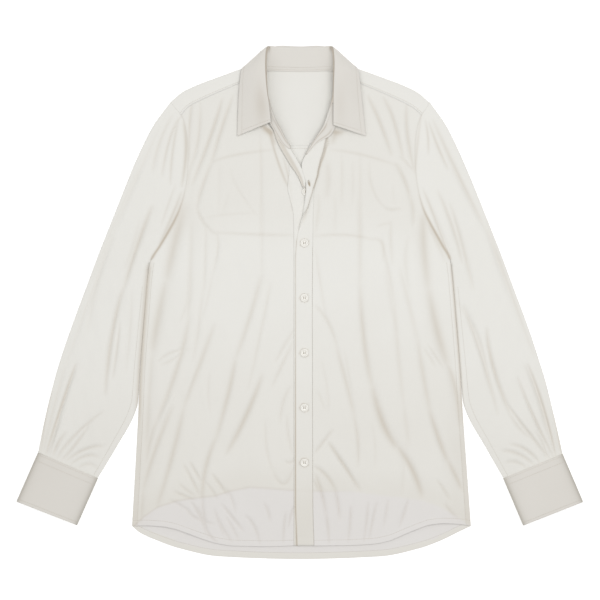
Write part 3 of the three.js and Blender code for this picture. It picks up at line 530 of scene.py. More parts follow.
SLEEVE_FOLDS = {
    "right": [
        [-171, 272, -188, 239, -200, 184, -2.7, 3],
        [-175, 268, -184, 222, -188, 172, -2.7, 3],
        [-169, 262, -165, 222, -171, 169, -3.9, 4],
        [-185, 271, -203, 233, -214, 190, -1.8, 3.5],
        [-171, 161, -185, 126, -203, 87, -2.6, 4],
        [-180, 171, -191, 142, -201, 111, -1.4, 3],
        [-214, 140, -235, 85, -255, 21, -3, 5],
        [-255, 24, -272, -45, -282, -132, -3, 4.5],
        [-261, -28, -265, -68, -271, -109, -1.8, 3],
        [-227, 207, -264, 126, -301, 32, -0.9, 2.4],
        [-232, 120, -243, 77, -255, 48, -1, 5],
        [-272, 97, -293, 33, -307, -39, -1, 6],
        [-243, 16, -246, -39, -252, -100, -0.9, 4],
        [-325, -89, -345, -147, -368, -218, -3.9, 3],
        [-359, -129, -369, -170, -375, -216, -2.1, 3],
        [-339, -187, -351, -205, -358, -222, -1.9, 2.2],
        [-285, -157, -327, -193, -352, -225, -1.9, 2.3],
        [-307, -179, -325, -205, -345, -228, -1.9, 2.2],
        [-284, -208, -310, -212, -339, -229, -2.2, 2.3],
        [-291, -224, -310, -222, -332, -234, -1.9, 2.2],
        [-348, -167, -356, -193, -362, -219, -1.4, 2],
        [-293, -240, -307, -234, -322, -240, -1.4, 2],
        [-333, -144, -348, -182, -365, -221, 1.2, 3],
        [-203, 255, -237, 180, -266, 108, -1, 2.5],
        [-266, 110, -302, 14, -340, -92, -1, 2.5],
        [-340, -90, -359, -160, -372, -216, -1.3, 2.2],
    ],
    "left": [
        [176, 271, 170, 224, 167, 178, -2.1, 3],
        [182, 265, 186, 239, 186, 216, -2.4, 3],
        [187, 262, 200, 227, 215, 194, -2.7, 3.5],
        [179, 164, 196, 122, 216, 68, -2.6, 4],
        [200, 161, 221, 111, 235, 59, -2.2, 4.5],
        [218, 143, 235, 85, 251, 21, -2, 4.5],
        [189, 143, 197, 117, 205, 94, -1.2, 3],
        [193, 265, 229, 187, 267, 111, -2.4, 5],
        [267, 114, 287, 65, 306, 10, -1.6, 5],
        [270, 120, 302, 27, 340, -77, -1.6, 5],
        [237, -5, 260, -68, 287, -161, -2.2, 4],
        [271, -37, 280, -92, 305, -161, -3, 4],
        [303, -158, 316, -179, 334, -196, -1.6, 3.5],
        [247, -25, 264, -66, 273, -118, -1.4, 4],
        [225, 4, 244, -25, 258, -71, -0.9, 4],
        [327, -92, 345, -135, 360, -190, -1.8, 3.5],
        [367, -155, 374, -187, 379, -219, -3, 2.6],
        [331, -90, 354, -153, 371, -222, -3.6, 3],
        [316, -109, 340, -167, 369, -225, -2.4, 2.3],
        [298, -144, 331, -187, 363, -226, -2.4, 2.3],
        [305, -205, 328, -213, 348, -232, -2.2, 2.2],
        [293, -215, 316, -219, 340, -235, -2.2, 2.2],
        [298, -232, 313, -231, 329, -240, -1.7, 2.2],
        [342, -187, 353, -205, 358, -225, -1.4, 2],
        [357, -158, 366, -187, 374, -216, 1.4, 3],
    ],
}
FOLD_STEPS = 8  # straight steps that a fold's curve is measured along
FOLD_POWER = 1.6
CREASE_SHARE = 0.6
NARROWEST_CREASE = 1.8
CREASE_DEPTH = 0.1  # extra depth of the crease in the bottom of a trough, as a share of the trough
CREASE_SHADE = 0.15  # painted shade in a crease: depth of colour for each mm of its trough


def mix(a, b, share):
    """The first value plus a share of the way to the second."""
    return a + (b - a) * share


def smooth_step(low, high, value):
    """Rises from 0 at the low value to 1 at the high one: three shares squared less two cubed."""
    share = np.clip((np.asarray(value, float) - low) / (high - low), 0, 1)
    return share * share * (3 - 2 * share)


def bell(away, width, power=2):
    """One at no distance, and less the farther away: exp(-(distance / width)^power)."""
    return np.exp(-((away / width) ** power))


def unit(way):
    """A direction divided by its length."""
    return way / np.linalg.norm(way, axis=-1, keepdims=True)


def folded(folds, x, y):
    """Heights and creases of a set of folds. Each fold's height is its rise times a bell of power FOLD_POWER
    over its half width, about a quadratic curve through its three points, and fades to both ends as the root
    of a sine. A trough also has a crease: a band CREASE_SHARE as wide, as strong as the trough is deep."""
    height, crease = np.zeros(x.shape), np.zeros(x.shape)
    s = np.linspace(0, 1, FOLD_STEPS + 1)
    weights = np.array([(1 - s) * (1 - 2 * s), 4 * s * (1 - s), s * (2 * s - 1)])
    for x0, y0, x1, y1, x2, y2, rise, width in folds:
        px, py = (x0, x1, x2) @ weights, (y0, y1, y2) @ weights
        reach = 3 * width
        near = ((x > px.min() - reach) & (x < px.max() + reach)
                & (y > py.min() - reach) & (y < py.max() + reach))
        if not near.any():
            continue
        qx, qy = x[near], y[near]
        best = np.full(qx.shape, np.inf)
        along = np.zeros(qx.shape)
        for k in range(FOLD_STEPS):
            dx, dy = px[k + 1] - px[k], py[k + 1] - py[k]
            t = np.clip(((qx - px[k]) * dx + (qy - py[k]) * dy) / (dx * dx + dy * dy), 0, 1)
            away = np.hypot(qx - px[k] - t * dx, qy - py[k] - t * dy)
            closer = away < best
            best = np.where(closer, away, best)
            along = np.where(closer, (k + t) / FOLD_STEPS, along)
        fade = np.sqrt(np.sin(np.pi * mix(0.02, 0.98, along)))
        height[near] += rise * fade * bell(best, width, FOLD_POWER)
        if rise < 0:
            core = bell(best, max(CREASE_SHARE * width, NARROWEST_CREASE), FOLD_POWER)
            crease[near] = np.maximum(crease[near], -rise * fade * core)
    return height - CREASE_DEPTH * crease, crease


def rumple(x, y, seed):
    """Faint unevenness of pressed cloth: the mean of six sine waves in seeded directions, longer down the
    cloth."""
    rng = np.random.default_rng(seed)
    height = np.zeros(x.shape)
    for _ in range(6):
        across, down = rng.uniform(14, 34), rng.uniform(60, 160)
        turn, phase = rng.uniform(-0.35, 0.35), rng.uniform(0, 2 * np.pi, 2)
        a = x * np.cos(turn) + y * np.sin(turn)
        b = y * np.cos(turn) - x * np.sin(turn)
        height += np.sin(2 * np.pi * a / across + phase[0] + 1.2 * np.sin(2 * np.pi * b / down + phase[1]))
    return height / 6


def front_folds(x, y):
    """Heights and creases of both fronts' folds: the right front's on its side of the opening, else the
    left's."""
    right, left = folded(RIGHT_FRONT_FOLDS, x, y), folded(LEFT_FRONT_FOLDS, x, y)
    return [np.where(x < -4, a, b) for a, b in zip(right, left)]


def soft_floor(height):
    """Height kept above the lower layer: half the rise above it plus half the root of its square and 1."""
    rise = height - LOWEST_UPPER_LAYER
    return LOWEST_UPPER_LAYER + (rise + np.sqrt(rise ** 2 + 1)) / 2 - 0.1


def body_height(x, y):
    """Mid height of the upper layer of the body: the lie between the sides and the inside, rounded down
    within BODY_ROUNDING of the side seams, plus the folds, which lie flatter in the pressed hem."""
    side, inside = np.moveaxis(BODY_LIE(y), -1, 0)
    edges = BODY_EDGES(y)
    half_width = np.abs(np.where(x < 0, edges[..., 0], edges[..., 1]))
    inward = np.clip((half_width - np.abs(x)) / BODY_ROUNDING, 0, 1)
    share = 1 - (1 - inward) ** 2
    edge_share = 1 - (1 - np.clip(inward * 3.4, 0, 1)) ** 2
    folds = front_folds(x, y)[0]
    pressed = mix(FOLDS_IN_HEM, 1, smooth_step(HEM_Y, HEM_Y + PRESSED_HEM, y))
    smooth_front = smooth_step(12, 34, np.abs(x - STRIPS_X))
    uneven = BODY_UNEVEN * rumple(x, y, BODY_SEED) * smooth_front
    rise = (inside - side) * share + (folds * edge_share + uneven * share) * pressed
    return soft_floor(side + rise)


def armhole_y(share):
    """Height at a share of the way from the shoulder down to the armpit."""
    return mix(SHOULDER_Y, ARMPIT_Y, share)


def lapped_height(x, y):
    """Mid height of the left front and placket, which lie over the button band: raised by PLACKET_LIFT,
    ramping down beside the placket, with a soft bump over the open button."""
    ramp = 1 - smooth_step(PLACKET_SIDE, PLACKET_SIDE + PLACKET_RAMP, x)
    away = np.hypot(x - OPEN_BUTTON_X, y - OPEN_BUTTON_Y)
    bump = (BUTTON_THICKNESS + 2 * BUTTON_CLEARANCE) * bell(away, BUTTON_BUMP, 4)
    return body_height(x, y) + PLACKET_LIFT * ramp + bump


def stack(x, y, z):
    """Points from their three coordinates."""
    return np.stack(np.broadcast_arrays(x, y, z), axis=-1).astype(float)


CLOSE_STEPS = np.array([0, 0.6, 1.4, 2.4, 3.6, 5, 6.6, 8.4, 10.4])


def graded(length, step, fine_start=True, fine_end=True):
    """Shares from 0 to 1 along a length in mm: one step apart inside, and CLOSE_STEPS from a fine end."""
    start = CLOSE_STEPS if fine_start else np.array([0.0])
    end = length - CLOSE_STEPS[::-1] if fine_end else np.array([float(length)])
    inside = np.linspace(start[-1], end[0], max(2, int((end[0] - start[-1]) / step) + 1))[1:-1]
    return np.concatenate([start, inside, end]) / length


def hem_fold(from_hem):
    """Rise of the turned hem at a distance from its edge."""
    return HEM_RISE * (1 - smooth_step(HEM_BAND - 1, HEM_BAND + 0.8, from_hem))


def front_length(u):
    """Length of a front below the armpit: between that of the opening and that of the side."""
    return mix(OPENING_LENGTH, SIDE_LENGTH, u)


def back_length(u):
    """Length of the back below the armpit: that of the side plus half a sine wave."""
    return SIDE_LENGTH + BACK_TAIL * np.sin(np.pi * u)


def front_point(side):
    """Front panel, u from the front edge to the side, r down the rows: a ruled sheet between the front edge
    and the armhole and side seam, pulled to the yoke seam at the top and to the curved hem at the bottom."""
    columns = slice(2 * side, 2 * side + 2)

    def point(u, r):
        """The ruled sheet plus its pulls, at its height, raised by the hem's turn and sunk to its seams."""
        level = np.interp(r, [0, CHEST_ROW, ARMHOLE_ROWS, FRONT_ROWS],
                          [FRONT_TOP_Y, CHEST_Y, ARMPIT_ROW_Y, HEM_Y])
        outer_y = np.interp(r, [0, ARMHOLE_ROWS, FRONT_ROWS],
                            [armhole_y(YOKE_FRONT), ARMPIT_Y, HEM_CORNER_Y])
        near = np.stack([FRONT_EDGES(level)[..., side], level], axis=-1)
        far = np.stack([BODY_EDGES(outer_y)[..., side], outer_y], axis=-1)
        lower = np.clip((r - ARMHOLE_ROWS) / (FRONT_ROWS - ARMHOLE_ROWS), 0, 1)
        top_pull = np.clip(1 - r / ARMHOLE_ROWS, 0, 1)[..., None] ** 3
        hem_pull = lower[..., None] ** 2
        share = u[..., None]
        seam_bow = FRONT_YOKE_SEAMS(u)[..., columns] - mix(
            FRONT_YOKE_SEAMS(0.0)[columns], FRONT_YOKE_SEAMS(1.0)[columns], share)
        hem_bow = FRONT_HEMS(u)[..., columns] - mix(
            FRONT_HEMS(0.0)[columns], FRONT_HEMS(1.0)[columns], share)
        place = mix(near, far, share) + top_pull * seam_bow + hem_pull * hem_bow
        x, y = place[..., 0], place[..., 1]
        z = lapped_height(x, y) if side else body_height(x, y)
        width = np.abs(far[..., 0] - near[..., 0])
        dip = bell((1 - u) * width, SEAM_WIDTH) * (1 - lower) + bell(r * FRONT_ROW, SEAM_WIDTH)
        return stack(x, y, z + hem_fold((1 - lower) * front_length(u)) - SEAM_DIP * dip)

    return point


def rows_down(first, second, step, split, end):
    """Rows over two lengths in mm, the first ending at row split, the second at row end: fine at both far
    ends, one step apart elsewhere."""
    return np.concatenate([graded(first, step, fine_end=False) * split,
                           mix(split, end, graded(second, step, fine_start=False))[1:]])


def neck_rise(x, y):
    """Rise of the back where it shows in the open neck: a soft hill that ends under the fronts."""
    return NECK_RISE * bell(x, NECK_HALF_WIDTH) * smooth_step(150, 195, y) * smooth_step(332, 270, y)


def back_point(u, r):
    """Back panel, u across from the right side, r down from the yoke seam: ruled between the side edges,
    pulled up to the yoke seam's curve and down to the hem's, flat on the surface but for the open neck."""
    y = np.interp(r, [0, BACK_ARMHOLE_ROWS, BACK_ROWS], [armhole_y(YOKE_BACK), ARMPIT_Y, HEM_CORNER_Y])
    edges = BODY_EDGES(y)
    share = u[..., None]
    lower = np.clip((r - BACK_ARMHOLE_ROWS) / (BACK_ROWS - BACK_ARMHOLE_ROWS), 0, 1)
    seam_pull = np.clip(1 - r / BACK_ARMHOLE_ROWS, 0, 1)[..., None] ** 2
    seam_bow = BACK_YOKE_SEAM(u) - mix(BACK_YOKE_SEAM(0.0), BACK_YOKE_SEAM(1.0), share)
    hem_bow = BACK_HEM(u) - mix(BACK_HEM(0.0), BACK_HEM(1.0), share)
    bend = seam_pull * seam_bow + lower[..., None] ** 2 * hem_bow
    x = mix(edges[..., 0], edges[..., 1], u) + bend[..., 0]
    uneven = BACK_UNEVEN * (1 + rumple(x, y, BACK_SEED)) * np.clip(4 * np.minimum(u, 1 - u), 0, 1)
    y = y + bend[..., 1]
    flattened = LOWER_LAYER_SHARE * (uneven + hem_fold((1 - lower) * back_length(u)))
    return stack(x, y, FLOOR_LAYER + flattened + neck_rise(x, y))


def yoke_grid():
    """Yoke as lines from the neck edge to the outer edge, from one front seam over the shoulder fold and
    round the back to the other front seam. The fold is half a circle of radius SHOULDER_BEND, the rest is
    ruled."""
    w = graded(YOKE_WIDTH, 3.2)[None, :]
    upper = FLOOR_LAYER + 2 * SHOULDER_BEND

    def half(side):
        """Lines of one side: up the front, round the fold, along the armhole and to the middle back."""
        sign = 1 if side else -1
        shoulder_x = abs(BODY_EDGES(SHOULDER_Y)[side])
        fold_x = sign * mix(NECK_X, shoulder_x - CLOTH / 2, w)
        fold_y = SHOULDER_FOLD(np.abs(fold_x))[..., 0] - CLOTH / 2
        seam = front_point(side)(mix(YOKE_STRIP, 1, w), 0 * w)[..., :2]
        front = np.linspace(0, 1, 9)[:-1, None]
        seam_z = body_height(seam[..., 0], seam[..., 1]) - SEAM_DIP
        swell = 0.5 * np.sin(np.pi * front)
        bend_y = fold_y - SHOULDER_BEND
        blocks = [stack(mix(seam[..., 0], fold_x, front), mix(seam[..., 1], bend_y, front),
                        mix(seam_z, upper, front) + swell)]
        turn = np.linspace(np.pi / 2, -np.pi / 2, 11)[:, None]
        bend_end = stack(fold_x, bend_y, FLOOR_LAYER)
        blocks.append(stack(fold_x, bend_y + SHOULDER_BEND * np.cos(turn),
                            FLOOR_LAYER + SHOULDER_BEND * (1 + np.sin(turn))))

        def armhole_line(s):
            """Line to the armhole, a share of the way down it, bowed along the shoulder by a sine."""
            outer_y = armhole_y(s * YOKE_BACK)
            outer_x = BODY_EDGES(outer_y)[..., side]
            bow = YOKE_BOW * (1 - s) ** 2 * np.sin(np.pi * w)
            inner_x = sign * mix(NECK_X - 1, NECK_BEND_X, s)
            return stack(mix(inner_x, outer_x, w), mix(NECK_Y, outer_y, w) + bow, FLOOR_LAYER)

        reach = np.linspace(0, 1, 7)[1:-1, None, None]
        blocks.append(mix(bend_end, armhole_line(np.array([[0.2]])), reach))
        blocks.append(armhole_line(np.linspace(0.2, 1, 24)[:, None]))
        s = np.linspace(0, 1, 30)[1:, None]
        seam_back = BACK_YOKE_SEAM(s / 2 if side == 0 else 1 - s / 2)
        inner_x = sign * mix(NECK_BEND_X, 0, s)
        x, y = mix(inner_x, seam_back[..., 0], w), mix(NECK_Y, seam_back[..., 1], w)
        blocks.append(stack(x, y, FLOOR_LAYER + neck_rise(x, y)))
        return np.concatenate(blocks)

    return np.concatenate([half(0), half(1)[-2::-1]])


def strip_grid(top, seam_side, edge, height, direction):
    """Strip along the front opening: flat from its seam to the roll, round the roll on an arc of radius
    LAPEL_BEND that opens to half a circle as the turned width grows, then back over itself by that width."""
    levels = np.linspace(top, HEM_Y, STRIP_ROWS)
    roll, turned, rise = np.moveaxis(edge(levels), -1, 0)
    start = FRONT_EDGES(levels)[:, seam_side]
    bend_start = roll - direction * (CLOTH / 2 + LAPEL_BEND)
    flat_end = mix(roll, bend_start, smooth_step(0, LAPEL_ROLL_FROM, turned))
    across = np.array([0, 0.04, 0.09, 0.16, 0.3, 0.45, 0.6, 0.75, 0.88, 0.95, 1])
    flat_x = mix(start[:, None], flat_end[:, None], across)
    angle = np.pi * smooth_step(0, LAPEL_FULL_TURN, turned)[:, None]
    s = np.linspace(0, 1, 9)[1:]
    bend_x = flat_end[:, None] + direction * (LAPEL_BEND * np.sin(angle * s) + 0.2 * s)
    bend_lift = LAPEL_BEND * (1 - np.cos(angle * s))
    length = np.maximum(CLOTH / 2, turned - LAPEL_BEND)[:, None]
    s = np.array([0.15, 0.3, 0.5, 0.7, 0.85, 0.95, 1])
    leaf_x = bend_x[:, -1:] + length * s * np.cos(angle) * direction
    leaf_lift = bend_lift[:, -1:] + length * s * np.sin(angle)
    x = np.hstack([flat_x, bend_x, leaf_x])
    lift = np.hstack([np.zeros_like(flat_x), bend_lift, leaf_lift])
    up = np.hstack([np.zeros((len(levels), flat_x.shape[1] + bend_x.shape[1])), rise[:, None] * s])
    y = np.broadcast_to(levels[:, None], x.shape)
    seam = STRIP_SEAM_DIP * bell(x - start[:, None], STRIP_SEAM_WIDTH) * (lift == 0)
    return stack(x, y + up, height(x, y) + lift - seam + hem_fold(y - HEM_Y))


def left_of(start, end):
    """Unit direction at right angles to start-to-end, to its left, in the plane."""
    along = end - start
    return unit(np.stack([-along[..., 1], along[..., 0]], axis=-1))


def tube_grid(place, inward, top_at, bottom, thickness, u, under_u):
    """Tube laid flat, one section a row: underneath from the outer edge to the inner edge, a half circle up,
    back on top, and a half circle down. place(u) is the plan, inward the unit directions from both edges."""
    rows = inward[0].shape[0]
    ends = np.zeros((rows, 1)), np.ones((rows, 1))
    radii = [(top_at(end) - bottom) / 2 for end in ends]
    span, under = np.broadcast_to(u, (rows, u.size)), np.broadcast_to(under_u, (rows, under_u.size))

    def flat(shares):
        """Plan of a flat layer, pulled in near both edges, where the half circles take over."""
        pulls = [(1 - shares) ** 4 * (thickness / 2 + radii[0]),
                 shares ** 4 * (thickness / 2 + radii[1])]
        return place(shares) + sum(pull[..., None] * way[:, None] for pull, way in zip(pulls, inward))

    def rounded(k, turns):
        """Half circle round an edge, about a point set in by its radius and half the wall."""
        inset = thickness / 2 + radii[k] * (1 - np.cos(turns))
        ground = place(ends[k]) + inset[..., None] * inward[k][:, None]
        return stack(ground[..., 0], ground[..., 1], bottom + radii[k] * (1 + np.sin(turns)))

    turns = np.linspace(-np.pi / 2, np.pi / 2, 9)[None, 1:-1]
    lower, upper = flat(under), flat(span[:, ::-1])
    return np.concatenate([
        stack(lower[..., 0], lower[..., 1], bottom),
        rounded(1, turns),
        stack(upper[..., 0], upper[..., 1], top_at(span[:, ::-1])),
        rounded(0, -turns),
    ], axis=1)


def sleeve_grid(side, folds):
    """Sleeve from the armhole to the cuff seam: sections between the outer and inner edges, the first of
    which fan out from the armpit and bow along the armhole. The upper layer has the sleeve's lie and
    folds."""
    sign = 1 if side else -1
    v = rows_down(SLEEVE_HEAD, SLEEVE_LENGTH, 2.8, SLEEVE_FAN, 1)

    def edges_at(shares):
        """Plan of the outer and the inner edge at shares of the length."""
        return np.split(SLEEVE_EDGES(np.clip(shares, 0, 1))[:, 4 * side:4 * side + 4], 2, axis=1)

    outer, inner = edges_at(v)
    rounded = smooth_step(0, 0.04, v)[:, None]
    inward = [left_of(before, after) * way * rounded
              for before, after, way in zip(edges_at(v - 0.02), edges_at(v + 0.02), (-sign, sign))]
    pull = np.clip(1 - v / SLEEVE_FAN, 0, 1)[:, None] ** 1.5

    def armhole(u):
        """Plan of the armhole, a share of the way down it."""
        y = armhole_y(u)
        return BODY_EDGES(y)[..., side], y

    def place(u):
        """Plan of the sections: ruled, plus the armhole's bow, and kept clear of the body's edge."""
        bow = pull * (armhole(u)[0] - mix(armhole(0.0)[0], armhole(1.0)[0], u))
        y = mix(outer[:, 1:], inner[:, 1:], u)
        away = np.abs(mix(outer[:, :1], inner[:, :1], u) + bow)
        clear = np.abs(BODY_EDGES(y)[..., side]) + SLEEVE_GAP * (1 + u ** 8 + (1 - u) ** 8)
        return np.stack([sign * np.maximum(away, clear), y], axis=-1)

    edge, inside = [part[:, None] for part in SLEEVE_LIE(v).T]
    head = smooth_step(0, 0.03, v)[:, None] * (1 - smooth_step(0.985, 1, v))[:, None]
    near_seam = smooth_step(0, 0.16, v)[:, None]

    def top_at(u):
        """Mid height of the upper layer: the body's at the armhole, then the sleeve's lie and folds."""
        x, y = np.moveaxis(place(u), -1, 0)
        crown = 1 - np.abs(2 * u - 1) ** 3
        edge_share = 1 - np.abs(2 * u - 1) ** 8
        fold = folded(folds, x, y)[0] * edge_share * head
        uneven = SLEEVE_UNEVEN * rumple(x, y, SLEEVE_SEED + side) * crown * head
        lie = soft_floor(edge + (inside - edge) * crown + fold + uneven)
        dip = bell(v[:, None], 0.004) + bell(1 - v[:, None], 0.004)
        return mix(body_height(*armhole(u)), lie, near_seam) - SEAM_DIP * dip

    u, under_u = graded(SLEEVE_WIDTH, 2.2), graded(SLEEVE_WIDTH, 7)
    return tube_grid(place, inward, top_at, FLOOR_LAYER, CLOTH, u, under_u), v, u, len(under_u) + 7


def cuff_grid(corners, sign):
    """Cuff laid flat, ruled from its seam to its lower edge, the upper layer slightly crowned."""
    upper_outer, upper_inner, lower_outer, lower_inner = np.array(corners, float)
    v = graded(CUFF_DEPTH, 3)
    outer = mix(upper_outer, lower_outer, v[:, None])
    inner = mix(upper_inner, lower_inner, v[:, None])
    inward = [np.repeat(left_of(upper_outer, lower_outer)[None] * -sign, len(v), 0),
              np.repeat(left_of(upper_inner, lower_inner)[None] * sign, len(v), 0)]

    def place(u):
        """Plan of the sections, ruled between the two edges."""
        return mix(outer[:, None], inner[:, None], u[..., None])

    def top_at(u):
        """Mid height of the upper layer: half a sine wave across, lower along the seam and the end."""
        edge = CUFF_DIP * (bell(v, 0.03) + bell(1 - v, 0.03))[:, None]
        return CUFF_HEIGHT - CUFF_CLOTH / 2 + CUFF_CROWN * np.sin(np.pi * u) - edge

    u = graded(CUFF_WIDTH, 3)
    return tube_grid(place, inward, top_at, CUFF_CLOTH / 2, CUFF_CLOTH, u, u), v, u, len(u) + 7


def stand_grid():
    """Collar stand, ruled from its neck seam to its upper edge and, where the collar covers it, on to just
    under the collar's roll: TUCK_REACH towards the leaf and TUCK_DEPTH below it."""
    s = np.linspace(0, 1, 220)
    seam, upper = np.split(STAND(s)[:, None], 2, axis=-1)
    w = graded(STAND_DEPTH, 3)[:, None]
    roll, bend, _ = np.split(COLLAR(np.interp(s, *STAND_TO_COLLAR))[:, None], 3, axis=-1)
    way = bend - roll
    way[..., 2] = 0
    target = roll + TUCK_REACH * unit(way) - (0, 0, TUCK_DEPTH)
    covered = smooth_step(0.115, 0.14, s) * smooth_step(0.89, 0.865, s)
    reach = np.array([0.25, 0.5, 0.75, 1])[:, None] * mix(0.04, 1, covered[:, None, None])
    tucked = mix(upper, target, reach)
    return np.concatenate([mix(seam, upper, w), tucked], axis=1), s, w[:, 0]


def collar_grid():
    """Collar from leaf point to leaf point: across, a quadratic curve from the roll through the bend to the
    edge, and the leaves swell softly between the roll and the edge."""
    s = np.concatenate([mix(0, LEAF_SHARE, graded(LEAF_LENGTH, 2.4, fine_end=False)),
                        np.linspace(LEAF_SHARE, 1 - LEAF_SHARE, 110)[1:-1],
                        mix(1 - LEAF_SHARE, 1, graded(LEAF_LENGTH, 2.4, fine_start=False))])
    roll, bend, edge = np.split(COLLAR(s)[:, None], 3, axis=-1)
    w = graded(LEAF_DEPTH, 2.2)[:, None]
    swell = LEAF_SWELL * np.sin(np.pi * w) ** 2
    grid = (1 - w) ** 2 * roll + 2 * w * (1 - w) * bend + w * w * edge
    grid[..., 2] += swell[:, 0] * smooth_step(0.2, 0.3, np.abs(s - 0.5))[:, None]
    return grid, s, w[:, 0]


def unit_normals(grid, ring):
    """Unit normals of a grid: the cross product of the differences across and along."""
    if ring:
        across = np.roll(grid, -1, axis=1) - np.roll(grid, 1, axis=1)
    else:
        across = np.gradient(grid, axis=1)
    normal = np.cross(across, np.gradient(grid, axis=0))
    return normal / np.maximum(np.linalg.norm(normal, axis=-1, keepdims=True), 1e-9)


def new_mesh(name, vertices, faces, smooth=None, uv=None):
    """Mesh object from vertices in mm and lists of equal-sided faces; uv holds one place for each corner."""
    mesh = bpy.data.meshes.new(name)
    mesh.vertices.add(len(vertices))
    mesh.vertices.foreach_set("co", (vertices * MM).astype(np.float32).ravel())
    corners = np.concatenate([part.ravel() for part in faces])
    sizes = np.concatenate([np.full(len(part), part.shape[1]) for part in faces])
    mesh.loops.add(len(corners))
    mesh.loops.foreach_set("vertex_index", corners.astype(np.int32))
    mesh.polygons.add(len(sizes))
    mesh.polygons.foreach_set("loop_start", np.concatenate([[0], np.cumsum(sizes)[:-1]]).astype(np.int32))
    mesh.update(calc_edges=True)
    mesh.polygons.foreach_set("use_smooth", np.ones(len(sizes), bool) if smooth is None else smooth)
    if uv is not None:
        layer = mesh.uv_layers.new(name="Cut")
        layer.data.foreach_set("uv", (uv * MM).astype(np.float32).ravel())
    mesh.validate()
    mesh.update()
    piece = bpy.data.objects.new(name, mesh)
    bpy.context.scene.collection.objects.link(piece)
    return piece


FLIPPED = [0, 3, 2, 1]  # corners of a face the other way round


def grid_quads(rows, columns, around=True, closed=False):
    """Faces between the points of a grid, row by row, each from its first point across, down and back.
    Around joins the last column to the first, closed the last row to the first."""
    j, i = np.meshgrid(np.arange(rows if closed else rows - 1),
                       np.arange(columns if around else columns - 1), indexing="ij")
    near, far = j * columns, (j + 1) % rows * columns
    following = (i + 1) % columns
    return np.stack([near + i, near + following, far + following, far + i], axis=-1).reshape(-1, 4)


def shell(name, grid, thickness, ring=False, tone=0.0, shade=0.0):
    """Closed shell about a grid of mid points: both faces lie half the thickness away along the unit
    normals, and flat rims join them. Its map is the distance along the cloth, across and down. Tone is how
    far its colour is deepened and shade how far it is greyed."""
    rows, columns = grid.shape[:2]
    normal = unit_normals(grid, ring)
    front = grid_quads(rows, columns, ring)
    total = rows * columns
    last = total - columns

    def rim(start, end):
        """Faces across the wall between points of the rim, each from its start to its end."""
        return np.stack([start, start + total, end + total, end], axis=1)

    edge = np.arange(columns if ring else columns - 1)
    edge_next = (edge + 1) % columns
    rims = [rim(edge, edge_next), rim(last + edge, last + edge_next)[:, FLIPPED]]
    if not ring:
        side = np.arange(rows - 1) * columns
        other = side + columns - 1
        rims += [rim(side, side + columns)[:, FLIPPED], rim(other, other + columns)]
    quads = np.concatenate([front, front[:, ::-1] + total, *rims])
    vertices = np.concatenate([(grid + normal * thickness / 2).reshape(-1, 3),
                               (grid - normal * thickness / 2).reshape(-1, 3)])
    corners = vertices[quads]
    volume = sum(np.einsum("ij,ij->", corners[:, 0], np.cross(corners[:, k], corners[:, k + 1]))
                 for k in (1, 2))
    turned = volume < 0
    if turned:
        quads = quads[:, ::-1]
    closed = np.concatenate([grid, grid[:, :1]], axis=1) if ring else grid
    step_u = np.linalg.norm(np.diff(closed, axis=1), axis=-1)
    step_v = np.linalg.norm(np.diff(grid, axis=0), axis=-1)
    map_u = np.concatenate([np.zeros((rows, 1)), np.cumsum(step_u, axis=1)], axis=1)
    map_u -= map_u[:, -1:] / 2
    map_v = np.concatenate([np.zeros((1, columns)), np.cumsum(step_v, axis=0)], axis=0)
    at = quads % total
    row, column = at // columns, at % columns
    wraps = ring & (column.max(axis=1) == columns - 1) & (column.min(axis=1) == 0)
    column_uv = np.where(wraps[:, None] & (column == 0), columns, column)
    uv = np.stack([map_u[row, column_uv], map_v[row, column]], axis=-1).reshape(-1, 2)
    smooth = np.ones(len(quads), bool)
    smooth[2 * len(front):] = False
    piece = new_mesh(name, vertices, [quads], smooth, uv)
    for attribute, depth in (("tone", tone), ("shade", shade)):
        depth = np.broadcast_to(depth, (rows, columns)).ravel()
        layer = piece.data.attributes.new(attribute, "FLOAT", "POINT")
        layer.data.foreach_set("value", np.tile(depth, 2).astype(np.float32))
    outward = -normal if ring and turned else normal
    return piece, {"grid": grid, "normal": outward, "half": thickness / 2}


def on_shell(surface, rows, columns, side=1):
    """Points of a shell's face and its normals at fractional rows and columns, mixed from the four grid
    points round each."""
    grid = surface["grid"]
    rows, columns = np.broadcast_arrays(np.asarray(rows, float), np.asarray(columns, float))
    j = np.clip(rows.astype(int), 0, grid.shape[0] - 2)
    i = np.clip(columns.astype(int), 0, grid.shape[1] - 2)
    s, t = (rows - j)[..., None], (columns - i)[..., None]

    def between(values):
        """Values mixed along the columns, then along the rows."""
        near = mix(values[j, i], values[j, i + 1], t)
        return mix(near, mix(values[j + 1, i], values[j + 1, i + 1], t), s)

    normal = unit(between(surface["normal"]) * side)
    return between(grid) + normal * surface["half"], normal


def topside(surface, rows, columns):
    """Like on_shell, on whichever face looks up."""
    point, normal = on_shell(surface, rows, columns)
    if np.mean(normal[..., 2]) < 0:
        return on_shell(surface, rows, columns, -1)
    return point, normal


STITCH = 2.6  # from stitch to stitch
STITCH_SHARE = 0.74  # of that, thread on top
THREAD = 0.5
SPINDLE_RINGS = 0.22, 0.78  # shares of the length
seam_stitches = []


